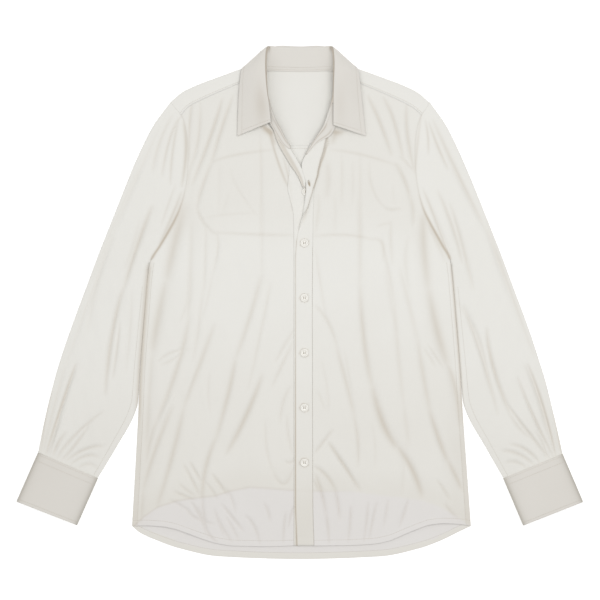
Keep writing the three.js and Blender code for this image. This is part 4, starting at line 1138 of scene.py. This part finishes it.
def thread_bodies(start, end, normal, thickness):
    """Four-sided spindles from start to end, as vertices, tip faces and side faces: two tips, and a ring of
    four points round the line at each of SPINDLE_RINGS."""
    across = unit(np.cross(normal, unit(end - start)))
    half = thickness / 2
    rings = [mix(start, end, share) + way * half
             for share in SPINDLE_RINGS for way in (across, normal, -across, -normal)]
    vertices = np.stack([start, *rings, end], axis=1)
    first = np.arange(4) + 1
    following = np.roll(first, -1)
    quads = np.stack([first, first + 4, following + 4, following], axis=1)
    tips = np.concatenate([np.stack([np.zeros(4, int), first, following], axis=1),
                           np.stack([np.full(4, 9), following + 4, first + 4], axis=1)])
    offset = np.arange(len(start))[:, None, None] * 10
    return vertices.reshape(-1, 3), (tips + offset).reshape(-1, 3), (quads + offset).reshape(-1, 4)


def sew(path, normals):
    """Row of stitches along a path: it is cut into equal steps, and each step holds one spindle of thread."""
    lengths = np.concatenate([[0], np.cumsum(np.linalg.norm(np.diff(path, axis=0), axis=1))])
    count = max(1, int(lengths[-1] / STITCH))
    starts = np.arange(count) * lengths[-1] / count
    ends = starts + STITCH_SHARE * lengths[-1] / count

    def at(values, where):
        """Values at lengths along the path, straight from point to point."""
        return np.stack([np.interp(where, lengths, values[:, axis]) for axis in range(3)], axis=-1)

    middle_normal = at(normals, (starts + ends) / 2)
    lift = middle_normal * THREAD * 0.1
    seam_stitches.append(thread_bodies(at(path, starts) + lift, at(path, ends) + lift, middle_normal, THREAD))


def joined(parts):
    """Vertices of several bodies as one list, and their three-sided and four-sided faces."""
    offsets = np.cumsum([0] + [len(part[0]) for part in parts[:-1]])
    faces = [np.concatenate([part[k] + offset for part, offset in zip(parts, offsets)]) for k in (1, 2)]
    return np.concatenate([part[0] for part in parts]), faces


def srgb(colour):
    """Linear colour from an sRGB hex value."""
    parts = np.array([int(colour[k:k + 2], 16) for k in (1, 3, 5)]) / 255
    linear = np.where(parts <= 0.04045, parts / 12.92, ((parts + 0.055) / 1.055) ** 2.4)
    return (*linear.tolist(), 1.0)


def add_node(tree, kind, inputs=None, **settings):
    """Adds a node with its settings; an input, by name or number, is a value or the output that feeds it."""
    node = tree.nodes.new(kind)
    for name, value in settings.items():
        setattr(node, name, value)
    for name, value in (inputs or {}).items():
        if isinstance(value, bpy.types.NodeSocket):
            tree.links.new(value, node.inputs[name])
        else:
            node.inputs[name].default_value = value
    return node


WEAVE = 0.9  # mm from thread to thread: about three times the real spacing, so that it shows
ONE_WAVE = 0.314  # scale at which a wave texture has one band for each unit
GRAIN_SCALE = 420.0  # grains of 2.4 mm, from the crinkled threads
CLOUD_SCALE = 14.0  # clouds of 70 mm, where the cloth is a little deeper in colour
SHELL_SCALE = 260.0  # clouds of 4 mm in the resin


def new_material(name):
    """A material and its node tree, without nodes."""
    material = bpy.data.materials.new(name)
    material.use_nodes = True
    material.node_tree.nodes.clear()
    return material, material.node_tree


def woven_crepe(name, light, deep, grey, roughness, sheen):
    """Plain-woven crepe: two crossing sets of threads as fine bands across and down the cloth, slightly
    grainy, and a colour that deepens with the tone attribute and turns grey with the shade attribute; both
    attributes carry painted shade and shadow as well as the cloth's own deeper and greyer places."""
    material, tree = new_material(name)
    cut = add_node(tree, "ShaderNodeUVMap", uv_map="Cut")
    mapped = add_node(tree, "ShaderNodeMapping",
                      {"Vector": cut.outputs["UV"], "Scale": (1 / (WEAVE * MM),) * 3})
    threads = [add_node(tree, "ShaderNodeTexWave",
                        {"Vector": mapped.outputs["Vector"], "Scale": ONE_WAVE, "Distortion": 0.6,
                         "Detail": 1.0, "Detail Scale": 2.0},
                        wave_type="BANDS", bands_direction=direction, wave_profile="SIN")
               for direction in ("X", "Y")]
    crossed = add_node(tree, "ShaderNodeMath", {k: thread.outputs["Fac"] for k, thread in enumerate(threads)},
                       operation="ADD")
    place = add_node(tree, "ShaderNodeTexCoord").outputs["Object"]
    grain = add_node(tree, "ShaderNodeTexNoise", {"Vector": place, "Scale": GRAIN_SCALE, "Detail": 3.0})
    cloud = add_node(tree, "ShaderNodeTexNoise", {"Vector": place, "Scale": CLOUD_SCALE, "Detail": 2.0})
    height = add_node(tree, "ShaderNodeMath", {0: crossed.outputs[0], 1: grain.outputs["Fac"]},
                      operation="ADD")
    bump = add_node(tree, "ShaderNodeBump",
                    {"Strength": 0.25, "Distance": 0.0001, "Height": height.outputs[0]})
    tone, shade = [add_node(tree, "ShaderNodeAttribute", attribute_name=kind, attribute_type="GEOMETRY")
                   for kind in ("tone", "shade")]
    clouded = add_node(tree, "ShaderNodeMath", {0: cloud.outputs["Fac"], 1: 0.1}, operation="MULTIPLY")
    depth = add_node(tree, "ShaderNodeMath", {0: tone.outputs["Fac"], 1: clouded.outputs[0]},
                     operation="ADD", use_clamp=True)
    colour = add_node(tree, "ShaderNodeMix", {0: depth.outputs[0], 6: srgb(light), 7: srgb(deep)},
                      data_type="RGBA")
    greyed = add_node(tree, "ShaderNodeMix", {0: shade.outputs["Fac"], 6: colour.outputs[2], 7: srgb(grey)},
                      data_type="RGBA", blend_type="MULTIPLY")
    cloth = add_node(tree, "ShaderNodeBsdfPrincipled", {
        "Base Color": greyed.outputs[2], "Roughness": roughness, "Sheen Weight": sheen,
        "Sheen Roughness": 0.4, "Specular IOR Level": 0.3, "Normal": bump.outputs["Normal"]})
    add_node(tree, "ShaderNodeOutputMaterial", {"Surface": cloth.outputs["BSDF"]})
    return material


def plain_finish(name, colour, roughness, ior=1.5, coat=0.0, speckle=None):
    """Moulded or spun finish: one colour, with an optional second colour in soft clouds a few mm across."""
    material, tree = new_material(name)
    colour = srgb(colour)
    if speckle:
        place = add_node(tree, "ShaderNodeTexCoord").outputs["Object"]
        cloud = add_node(tree, "ShaderNodeTexNoise", {"Vector": place, "Scale": SHELL_SCALE, "Detail": 2.0})
        colour = add_node(tree, "ShaderNodeMix", {0: cloud.outputs["Fac"], 6: colour, 7: srgb(speckle)},
                          data_type="RGBA").outputs[2]
    shader = add_node(tree, "ShaderNodeBsdfPrincipled", {
        "Base Color": colour, "Roughness": roughness, "IOR": ior, "Coat Weight": coat})
    add_node(tree, "ShaderNodeOutputMaterial", {"Surface": shader.outputs["BSDF"]})
    return material


# One layer of light polyester crepe: matt, a little sheen, faintly see-through over what lies beneath; its
# deep colour is also the painted shade in creases, beside seams and under edges
CREPE = woven_crepe("ivory crepe", "#EAE9E4", "#C8BFB1", "#F7F5F7", 0.62, 0.25)
# The same crepe doubled over an interlining and pressed: flatter and slightly greyer; its deep and grey
# colours also paint the shade on the collar's roll, under the leaves and on the cuffs' turned edges
PRESSED_CREPE = woven_crepe("pressed doubled crepe", "#E1DED8", "#B9AE9F", "#C4C6C2", 0.58, 0.2)
# Spun polyester thread, a tone deeper than the cloth
THREAD_FINISH = plain_finish("spun polyester thread", "#CFC8BC", 0.6)
# The same thread in button weight, darker all over, which paints the shade where it is bunched in the holes
BUTTON_THREAD = plain_finish("button thread", "#B8B3AA", 0.6)
# Cast polyester resin that imitates shell: glossy, milky, with soft clouds
SHELL_RESIN = plain_finish("cast shell resin", "#F4F2EC", 0.22, 1.55, 0.3, "#E9E6DE")
# Painted shade: the dark inside of a buttonhole slit and of a button's holes
SLIT_SHADE = plain_finish("buttonhole slit shade", "#B7A993", 0.9)


def finished(piece, material, slot, *nodes):
    """Gives a piece its material and body, and hides the solids that it stands in for; its slot is not used.
    """
    piece.data.materials.append(material)
    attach(piece, "root")
    if nodes:
        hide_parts(*nodes)


# What shows through the fronts from beneath: start x, y, middle x, y, end x, y, depth, half width
SHOW_THROUGH = [
    [-126, 204, -92, 214.5, -36, 222, 0.22, 2.1],
    [44, 222, 90, 214.5, 139, 199.5, 0.22, 2.1],
    [-140, 123, -104, 128, -65, 130, 0.1, 2],
    [112, 111, 122, 114, 133, 116, 0.12, 2],
    [-124, 102, -60, 99, -8, 98, 0.24, 2.2],
    [20, 96, 64, 98.5, 104, 92, 0.24, 2.2],
    [103, 92, 119, 87, 120, 62, 0.2, 2.2],
    [123, 45, 131, 4, 139, -40, 0.1, 3],
]

# Stitch lines of the opening that show through the right front, the same columns
FACING_LINES = [
    [-43, 243, -30, 200, -16, 166, 0.6, 1.6],
    [-24, 210, -15.5, 176, -11, 134, 0.35, 1.5],
]

# Where a piece above keeps the light off the fronts, the same columns
UNDER_CORNERS = [
    [-55, 258, -47, 250, -38, 246, 0.9, 4],
    [-46, 252, -40, 240, -36, 228, 0.45, 3.5],
    [64, 248, 54, 247, 47, 250, 0.6, 4],
    [52, 250, 50, 240, 46, 230, 0.35, 4],
]

# Upper edge of the back's bottom, where the fronts lie on the floor layer alone: x, y
HEM_ZONE = np.array([
    [-245, -328],
    [-226, -310],
    [-206, -296],
    [-178, -287],
    [-152, -283],
    [-123, -280],
    [-101, -273],
    [-72, -267],
    [-11, -271.5],
    [32, -273],
    [73, -273],
    [116, -279],
    [145, -282],
    [179, -287],
    [203, -296],
    [225, -308],
    [250, -326],
]).T


# Half width of the painted shadow line beside each side seam, right and left
SIDE_SHADOW_WIDTHS = 4.2, 2


def side_shadow_tone(away, y, width):
    """Painted shadow and shade, as depth of colour at a distance from the body's edge: a bell of this width
    beside the side seam, where body and sleeve lie against each other, and a narrow one of painted shade
    along the armhole seam, deeper near the armpit."""
    seam = 0.62 * bell(away, width) * smooth_step(66, 46, y) * smooth_step(-200, -140, y)
    low = smooth_step(170, 105, y)
    armhole = bell(away, mix(1.6, 2.4, low)) * smooth_step(60, 66, y) * mix(0.16, 0.95, low)
    return seam + armhole


def above_zone(grid):
    """Height above the upper edge of the hem zone."""
    return grid[..., 1] - np.interp(grid[..., 0], *HEM_ZONE)


def hem_shade(grid):
    """One below the upper edge of the hem zone, none above it, with a soft step between."""
    return smooth_step(2.5, -2.5, above_zone(grid))


def body_tone(grid):
    """Depth of colour of the fronts, as a sum: a slow deepening down to the hem zone and a line at its upper
    edge, painted shade in the creases of folds, what shows through and painted shade where the collar's
    corners keep the light off, a painted shadow along the turned placket's edge, the seam allowance and
    painted shade in a wider band beside the side seams, and painted shadow along the side seams and armholes."""
    x, y = grid[..., 0], grid[..., 1]
    edges = BODY_EDGES(y)
    away = np.minimum(x - edges[..., 0], edges[..., 1] - x)
    above = above_zone(grid)
    lower = (0.14 * smooth_step(60, -200, y) + 0.1 * smooth_step(60, 150, y)
             + 0.1 * smooth_step(45, 0, above)) * (1 - hem_shade(grid))
    end = 0.22 * bell(above, 1.6) * smooth_step(120, -40, x)
    # painted shade in the creases of the folds
    creases = CREASE_SHADE * front_folds(x, y)[1]
    # what shows through, and painted shade where the collar's corners keep the light off
    show_through_and_shade = folded(SHOW_THROUGH + FACING_LINES + UNDER_CORNERS, x, y)[0]
    roll, turned, _ = np.moveaxis(PLACKET_EDGE(y), -1, 0)
    # painted shadow cast by the turned placket's free edge
    turned_placket_shadow = 0.8 * bell(x - roll - turned, 1.5) * smooth_step(112, 125, y)
    # the seam allowance showing through beside the side seam, and painted shade in a wider band beside it
    allowance = 0.14 * smooth_step(8, 6.5, away) + 0.1 * smooth_step(45, 5, away)
    return (lower + end + creases + show_through_and_shade + turned_placket_shadow + allowance * smooth_step(-120, -220, y)
            + side_shadow_tone(away, y, np.where(x < 0, *SIDE_SHADOW_WIDTHS)))


def index_of(values, where):
    """Fractional place of a value in a rising list."""
    return np.interp(where, values, np.arange(len(values)))


def sew_hem(surface, rows, armhole_row, lengths):
    """Stitches along the upper edge of a turned hem, HEM_BAND above the last row; the lengths are those from
    the armhole's row down to the hem."""
    line = mix(armhole_row, rows[-1], 1 - HEM_BAND / lengths)
    sew(*topside(surface, index_of(rows, line), np.arange(len(lengths))))


# Fronts
front_u = graded(FRONT_WIDTH, 2)
front_r = rows_down(FRONT_ARMHOLE, OPENING_LENGTH, 2, ARMHOLE_ROWS, FRONT_ROWS)
for side, name in enumerate(("right", "left")):
    grid = front_point(side)(*np.meshgrid(front_u, front_r))
    front, surface = shell(f"front_{name}_cloth", grid, CLOTH, tone=body_tone(grid), shade=hem_shade(grid))
    finished(front, CREPE, "ivory_cloth", f"front_{name}")
    sew_hem(surface, front_r, ARMHOLE_ROWS, front_length(front_u))
    lower_rows = np.arange(index_of(front_r, ARMHOLE_ROWS + 0.2), index_of(front_r, FRONT_ROWS) - 1)
    sew(*topside(surface, lower_rows, index_of(front_u, 1 - SIDE_STITCH / FRONT_WIDTH)))

# Back, of which only the bottom is greyed, where the fronts end above it
back_u = graded(BACK_WIDTH, 5)
back_r = rows_down(BACK_ARMHOLE, BACK_LENGTH, 5, BACK_ARMHOLE_ROWS, BACK_ROWS)
grid = back_point(*np.meshgrid(back_u, back_r))
x, y = grid[..., 0], grid[..., 1]
hem_band = y < BACK_HEM(np.clip((x - BACK_HEM_START) / BACK_HEM_SPAN, 0, 1))[..., 1] + HEM_BAND + 0.5
back, surface = shell("back_cloth", grid, CLOTH, tone=0.25 * hem_band, shade=(y < 0) * (1 - hem_band))
finished(back, CREPE, "ivory_cloth", "back")
sew_hem(surface, back_r, BACK_ARMHOLE_ROWS, back_length(back_u))
sew(*topside(surface, index_of(back_r, 0.16), np.arange(len(back_u))))

# Yoke
grid = yoke_grid()
yoke, surface = shell("yoke_cloth", grid, CLOTH, tone=0.02)
finished(yoke, CREPE, "ivory_cloth", "yoke")
for row in (1.2, grid.shape[0] - 2.2):
    sew(*topside(surface, row, np.arange(grid.shape[1])))


def strip_tone(grid, fold_shade_lines):
    """Depth of colour of a strip of the opening: a third of the fronts' and more in the hem zone, painted
    shadow along the placket's edge and in rings round the buttons, and painted shade in lines along the
    turned part."""
    x, y = grid[..., 0], grid[..., 1]
    # painted shadow along the placket's free edge
    placket_edge_shadow = bell(x - PLACKET_EDGE(y)[..., 0] + CLOTH / 2, 0.8) * smooth_step(100, 88, y)
    lower = 0.1 * smooth_step(-60, -240, y) + 0.08 * hem_shade(grid) + 0.14 * smooth_step(-240, -320, y)
    column = np.broadcast_to(np.arange(grid.shape[1]), x.shape)
    # painted shade of the fold lines along the turned part
    turned = sum(depth * bell(column - at, 0.9) for at, depth in fold_shade_lines) * smooth_step(150, 170, y)
    rows = np.clip(np.round((FIRST_BUTTON_Y - y) / BUTTON_SPACING), 0, FASTENED_BUTTONS - 1)
    away = np.hypot(x - BUTTON_X, y - FIRST_BUTTON_Y + rows * BUTTON_SPACING)
    # painted shadow of each button round its rim
    ring = bell(away - BUTTON_RADIUS - 0.2, 0.8)
    edge_shadow_depth = 0.4 + 0.5 * smooth_step(60, -260, y)
    return 0.33 * body_tone(grid) + lower + edge_shadow_depth * placket_edge_shadow + turned + 0.5 * ring


# Painted shade of the fold lines along the turned part of each strip: column, depth
BAND_FOLD_SHADE = [(11, 0.5), (21.5, 0.7), (23.6, 0.6)]
PLACKET_FOLD_SHADE = [(12, 0.5), (25, 0.7)]

# Columns of the stitch lines along the placket's seam and along the free end of both, and how many rows
# from the top are turned in each
SEAM_COLUMN, FREE_COLUMN = 0.8, 24.2
TURNED_ROWS = 44, 62

# Button band and placket
grid = strip_grid(BAND_TOP_Y, 0, BAND_EDGE, body_height, 1)
band, band_surface = shell("button_band_cloth", grid, CLOTH, tone=strip_tone(grid, BAND_FOLD_SHADE))
finished(band, CREPE, "ivory_cloth", "button_band")
grid = strip_grid(PLACKET_TOP_Y, 1, PLACKET_EDGE, lapped_height, -1)
placket, placket_surface = shell("placket_cloth", grid, CLOTH, tone=strip_tone(grid, PLACKET_FOLD_SHADE))
finished(placket, CREPE, "ivory_cloth", "placket")
sew(*topside(placket_surface, np.arange(60, STRIP_ROWS), SEAM_COLUMN))
for surface, count in zip((band_surface, placket_surface), TURNED_ROWS):
    sew(*topside(surface, np.arange(count), FREE_COLUMN))

# Sleeves, with painted shade in their creases and painted shadow beside the body's side seams and armholes
for side, name in enumerate(("right", "left")):
    grid, v, u, upper_start = sleeve_grid(side, SLEEVE_FOLDS[name])
    x, y = grid[..., 0], grid[..., 1]
    away = np.abs(x) - np.abs(BODY_EDGES(y)[..., side])
    creases = folded(SLEEVE_FOLDS[name], x, y)[1] * (grid[..., 2] > LOWEST_UPPER_LAYER - 1)
    tone = (0.02 + 0.1 * smooth_step(-40, -220, y) + CREASE_SHADE * creases
            + side_shadow_tone(away, y, SIDE_SHADOW_WIDTHS[side]))
    sleeve, surface = shell(f"sleeve_{name}_cloth", grid, CLOTH, ring=True, tone=tone)
    finished(sleeve, CREPE, "ivory_cloth", f"sleeve_{name}")
    upper_column = upper_start + len(u) - 1 - index_of(u, 1 - SIDE_STITCH / LOWER_SLEEVE_WIDTH)
    sew(*topside(surface, np.arange(index_of(v, 0.4), len(v) - 3), upper_column))

# Cuffs, deeper and greyer with painted shade where they turn round their two edges
for name, sign in (("right", -1), ("left", 1)):
    grid, v, u, upper_start = cuff_grid(CUFF_CORNERS[name], sign)
    around = np.arange(grid.shape[1])
    from_edges = [np.minimum(abs(around - at), len(around) - abs(around - at))
                  for at in (upper_start - 4, len(around) - 4)]
    turned = sum(bell(away, 7) for away in from_edges)
    cuff, surface = shell(f"cuff_{name}_cloth", grid, CUFF_CLOTH, ring=True, tone=0.1 + 0.3 * turned,
                          shade=0.55 * turned)
    finished(cuff, PRESSED_CREPE, "doubled_cloth", f"cuff_{name}")
    upper = np.arange(upper_start + 2, upper_start + len(u) - 2)
    for line in CUFF_STITCHES:
        sew(*topside(surface, index_of(v, line / CUFF_DEPTH), upper))

# Stand, deeper with painted shade where the leaves cover it, and deeper in lines at its front ends
grid, s, w = stand_grid()
from_back = np.abs(s - 0.5)
# painted shade on the stand's sides, under the collar's leaves
beside = smooth_step(0.17, 0.2, from_back) * smooth_step(0.41, 0.36, from_back)
up = np.arange(grid.shape[1]) / (len(w) - 1)
front_end = smooth_step(0.1, 0.07, s) + smooth_step(0.93, 0.95, s)
lines = 0.5 * bell(up - 0.3, 0.07) + 0.6 * bell(up - 0.68, 0.07) + 0.4 * (up > 0.9)
stand_tone = 0.02 + 0.8 * beside[:, None] * smooth_step(0.6, 1, up) + front_end[:, None] * lines
stand, surface = shell("collar_stand_cloth", grid, INTERLINED, tone=stand_tone)
finished(stand, PRESSED_CREPE, "doubled_cloth", "collar_stand")
for line in STAND_STITCHES:
    sew(*topside(surface, np.arange(4, len(s) - 4), index_of(w, line / STAND_DEPTH)))

# Collar, with painted shade a little deeper on the roll of its leaves, stitched along their three free edges
grid, s, w = collar_grid()
roll_shade = bell(w - 0.3, 0.22) * (0.3 * bell(s - 0.1, 0.1) + 0.12 * bell(s - 0.9, 0.1))[:, None]
collar, surface = shell("collar_cloth", grid, INTERLINED, tone=0.06 + roll_shade)
finished(collar, PRESSED_CREPE, "doubled_cloth", "collar")
stitch_column = index_of(w, 1 - LEAF_STITCH / LEAF_WIDTH)
for start, end in ((0, 0.33), (0.67, 1)):
    sew(*topside(surface, np.arange(index_of(s, start), index_of(s, end)), stitch_column))
for row in (index_of(s, 0.014), index_of(s, 1 - 0.014)):
    sew(*topside(surface, row, np.arange(2, stitch_column)))

# Stitching
finished(new_mesh("stitching", *joined(seam_stitches)), THREAD_FINISH, "ivory_cloth")


# Profile of a button, from the middle of its dished face over the rim to its underside: radius, height
BUTTON_PROFILE = np.array([
    [0.35, 1.2], [0.7, 1.2], [1.05, 1.2], [1.4, 1.2], [1.75, 1.2], [2.1, 1.21], [2.45, 1.22], [2.8, 1.24],
    [3.2, 1.3], [3.6, 1.42], [3.9, 1.66], [4.2, 1.95], [4.5, 2.12], [4.9, BUTTON_THICKNESS], [5.3, 2.16],
    [5.6, 2], [5.8, 1.72], [BUTTON_RADIUS, 1.3], [5.8, 0.8], [5.5, 0.4], [5, 0.15], [4, 0.04], [2.4, 0],
    [1, 0],
])
DISH_ROWS, DISH_HEIGHT = 12, 1.2  # rows of the profile that the holes may dent, and its height in the middle
HOLE_RADIUS, HOLE_DEPTH = 0.62, 0.8
UP = np.array([0.0, 0.0, 1.0])
LENGTHWISE = np.array([0.0, 1.0, 0.0])


def button_mesh(place):
    """Turned button: rings of the profile about its place and a point in the middle of both faces, with four
    round holes pressed into the dish, each a bell of power 4."""
    radius, level = BUTTON_PROFILE.T
    turn = np.linspace(0, 2 * np.pi, 48, endpoint=False)
    px, py = radius[:, None] * np.cos(turn), radius[:, None] * np.sin(turn)
    sides = (-HOLE_REACH, HOLE_REACH)
    holes = sum(bell(np.hypot(px - a, py - b), HOLE_RADIUS, 4) for a in sides for b in sides)
    on_face = (np.arange(len(radius)) < DISH_ROWS)[:, None]
    rings = stack(px, py, level[:, None] - HOLE_DEPTH * holes * on_face)
    rows, columns = rings.shape[:2]
    vertices = np.concatenate([rings.reshape(-1, 3), [[0, 0, DISH_HEIGHT], [0, 0, 0]]]) + place
    i = np.arange(columns)
    following = (i + 1) % columns
    top, bottom = np.full((2, columns), rows * columns) + [[0], [1]]
    last = (rows - 1) * columns
    fans = np.concatenate([np.stack([top, i, following], axis=1),
                           np.stack([bottom, last + following, last + i], axis=1)])
    return vertices, [fans, grid_quads(rows, columns)[:, FLIPPED]]


# Buttons, each sewn with two threads side by side, from hole to hole, and a stem of thread beneath, and a
# dark spindle of painted shade in each of the four holes
threads, slit_shades = [], []
for k in range(FASTENED_BUTTONS + 1):
    fastened = k < FASTENED_BUTTONS
    x = BUTTON_X if fastened else OPEN_BUTTON_X
    y = FIRST_BUTTON_Y - k * BUTTON_SPACING if fastened else OPEN_BUTTON_Y
    node = f"button_{k + 1}" if fastened else "button_top"
    place = np.array([x]), np.array([y])
    under = (lapped_height if fastened else body_height)(*place)[0] + CLOTH / 2
    middle = np.array([[x, y, under + BUTTON_CLEARANCE]])
    finished(new_mesh(f"{node}_shell", *button_mesh(middle)), SHELL_RESIN, "button_shell", node)
    over = middle + DISH_HEIGHT * UP
    for side in (-HOLE_REACH, HOLE_REACH):
        threads.append(thread_bodies(over + (side, -1.5, 0), over + (side, 1.5, 0), UP[None], 0.8))
    for across in (-HOLE_REACH, HOLE_REACH):
        for down in (-HOLE_REACH, HOLE_REACH):
            hole = middle + (across, down, 0.5)
            slit_shades.append(thread_bodies(hole - (0, 0.9, 0), hole + (0, 0.9, 0), UP[None], 1.3))
    stem = np.array([[x, y, under - 0.3]])
    threads.append(thread_bodies(stem, stem + 1.4 * UP, np.array([[1.0, 0.0, 0.0]]), 1.6))
finished(new_mesh("button_threads", *joined(threads)), BUTTON_THREAD, "ivory_cloth")


BUTTONHOLE_LENGTH, BUTTONHOLE_WIDTH = 6.1, 1.25  # half those of its oval
BUTTONHOLE_THREAD, THREAD_WAVE, THREAD_WAVES = 0.55, 0.1, 24  # radius, how much it waves and how often
OPEN_HOLE_X, OPEN_HOLE_Y = 12.9, 170  # the one in the turned part of the placket
OPEN_HOLE_WAY = np.array([-0.17, 0.985, 0.0])
TURNED_COLUMN = 20  # from which the placket is turned over


def buttonhole(middle, way):
    """Worked buttonhole: a tube of dense thread round a long oval, with THREAD_WAVES waves in its width."""
    t = np.linspace(0, 2 * np.pi, 96, endpoint=False)[:, None]
    ring = np.linspace(0, 2 * np.pi, 6, endpoint=False)
    width = BUTTONHOLE_THREAD + THREAD_WAVE * np.cos(THREAD_WAVES * t)
    reach = np.sin(t) * (BUTTONHOLE_WIDTH + width * np.cos(ring))
    along = np.cos(t) * (BUTTONHOLE_LENGTH + width * np.cos(ring))
    lift = 0.3 * np.sin(ring) + 0 * t
    points = middle + along[..., None] * way + reach[..., None] * np.cross(UP, way) + lift[..., None] * UP
    quads = grid_quads(*points.shape[:2], closed=True)[:, FLIPPED]
    return points.reshape(-1, 3), np.zeros((0, 3), int), quads


# Buttonholes: one at each fastened button, and the open one in the turned part of the placket
holes = []


def work_hole(middle, way, half_length, thickness):
    """A buttonhole and a dark spindle of painted shade in its slit, of this half length."""
    holes.append(buttonhole(middle, way))
    slit_shades.append(thread_bodies((middle - half_length * way)[None], (middle + half_length * way)[None],
                               UP[None], thickness))


for k in range(FASTENED_BUTTONS):
    y = FIRST_BUTTON_Y - k * BUTTON_SPACING
    z = lapped_height(np.array([BUTTON_X]), np.array([y]))[0] + CLOTH / 2
    work_hole(np.array([BUTTON_X, y, z]), LENGTHWISE, 5.5, 0.9)
leaf = placket_surface["grid"][:, TURNED_COLUMN:]
from_hole = np.hypot(leaf[..., 0] - OPEN_HOLE_X, leaf[..., 1] - OPEN_HOLE_Y)
nearest = np.unravel_index(np.argmin(from_hole), leaf.shape[:2])
work_hole(leaf[nearest] + UP * (CLOTH / 2 + 0.05), OPEN_HOLE_WAY, 4, 1.5)
finished(new_mesh("buttonholes", *joined(holes)), THREAD_FINISH, "ivory_cloth")
finished(new_mesh("buttonhole_slit_shades", *joined(slit_shades)), SLIT_SHADE, "ivory_cloth")

# Floor, light and camera
FLOOR_REACH = 6.0
FLOOR_GLOW, SKY_STRENGTH = 0.25, 0.505
floor_mesh = bpy.data.meshes.new("floor")
corners = [(a * FLOOR_REACH, b * FLOOR_REACH, 0) for a, b in ((-1, -1), (1, -1), (1, 1), (-1, 1))]
floor_mesh.from_pydata(corners, [], [(0, 1, 2, 3)])
floor = bpy.data.objects.new("floor", floor_mesh)
bpy.context.scene.collection.objects.link(floor)
paper = plain_finish("white studio paper", "#FFFFFF", 0.9)
paper_shader = paper.node_tree.nodes["Principled BSDF"].inputs
paper_shader["Emission Color"].default_value = (1, 1, 1, 1)
paper_shader["Emission Strength"].default_value = FLOOR_GLOW
floor_mesh.materials.append(paper)

world = bpy.data.worlds.new("studio")
bpy.context.scene.world = world
world.use_nodes = True
sky = world.node_tree.nodes["Background"].inputs
sky["Color"].default_value = (1, 1, 1, 1)
sky["Strength"].default_value = SKY_STRENGTH


def soft_box(name, place, size, power):
    """Square softbox aimed at the middle of the blouse."""
    data = bpy.data.lights.new(name, "AREA")
    data.shape, data.size, data.energy = "SQUARE", size, power
    light = bpy.data.objects.new(name, data)
    bpy.context.scene.collection.objects.link(light)
    light.location = place
    light.rotation_mode = "QUATERNION"
    light.rotation_quaternion = Vector(-unit(np.array(place))).to_track_quat("-Z", "Y")


soft_box("key", (0.4, 0.3, 2.2), 2.0, 27.5)
soft_box("fill", (-1.9, -0.6, 2.2), 2.0, 9.5)

SEEN_WIDTH = 0.87
SEEN_MIDDLE = 0.00029, 0.00406
SEEN_HEIGHT = 0.004  # of the plane of which the camera sees that width
LENS, SENSOR = 100.0, 36.0
camera_data = bpy.data.cameras.new("camera")
camera_data.lens, camera_data.sensor_width = LENS, SENSOR
camera = bpy.data.objects.new("camera", camera_data)
bpy.context.scene.collection.objects.link(camera)
camera.location = (*SEEN_MIDDLE, SEEN_WIDTH * LENS / SENSOR + SEEN_HEIGHT)
camera.rotation_euler = (0, 0, 0)
bpy.context.scene.camera = camera
bpy.context.scene.view_settings.view_transform = "Standard"
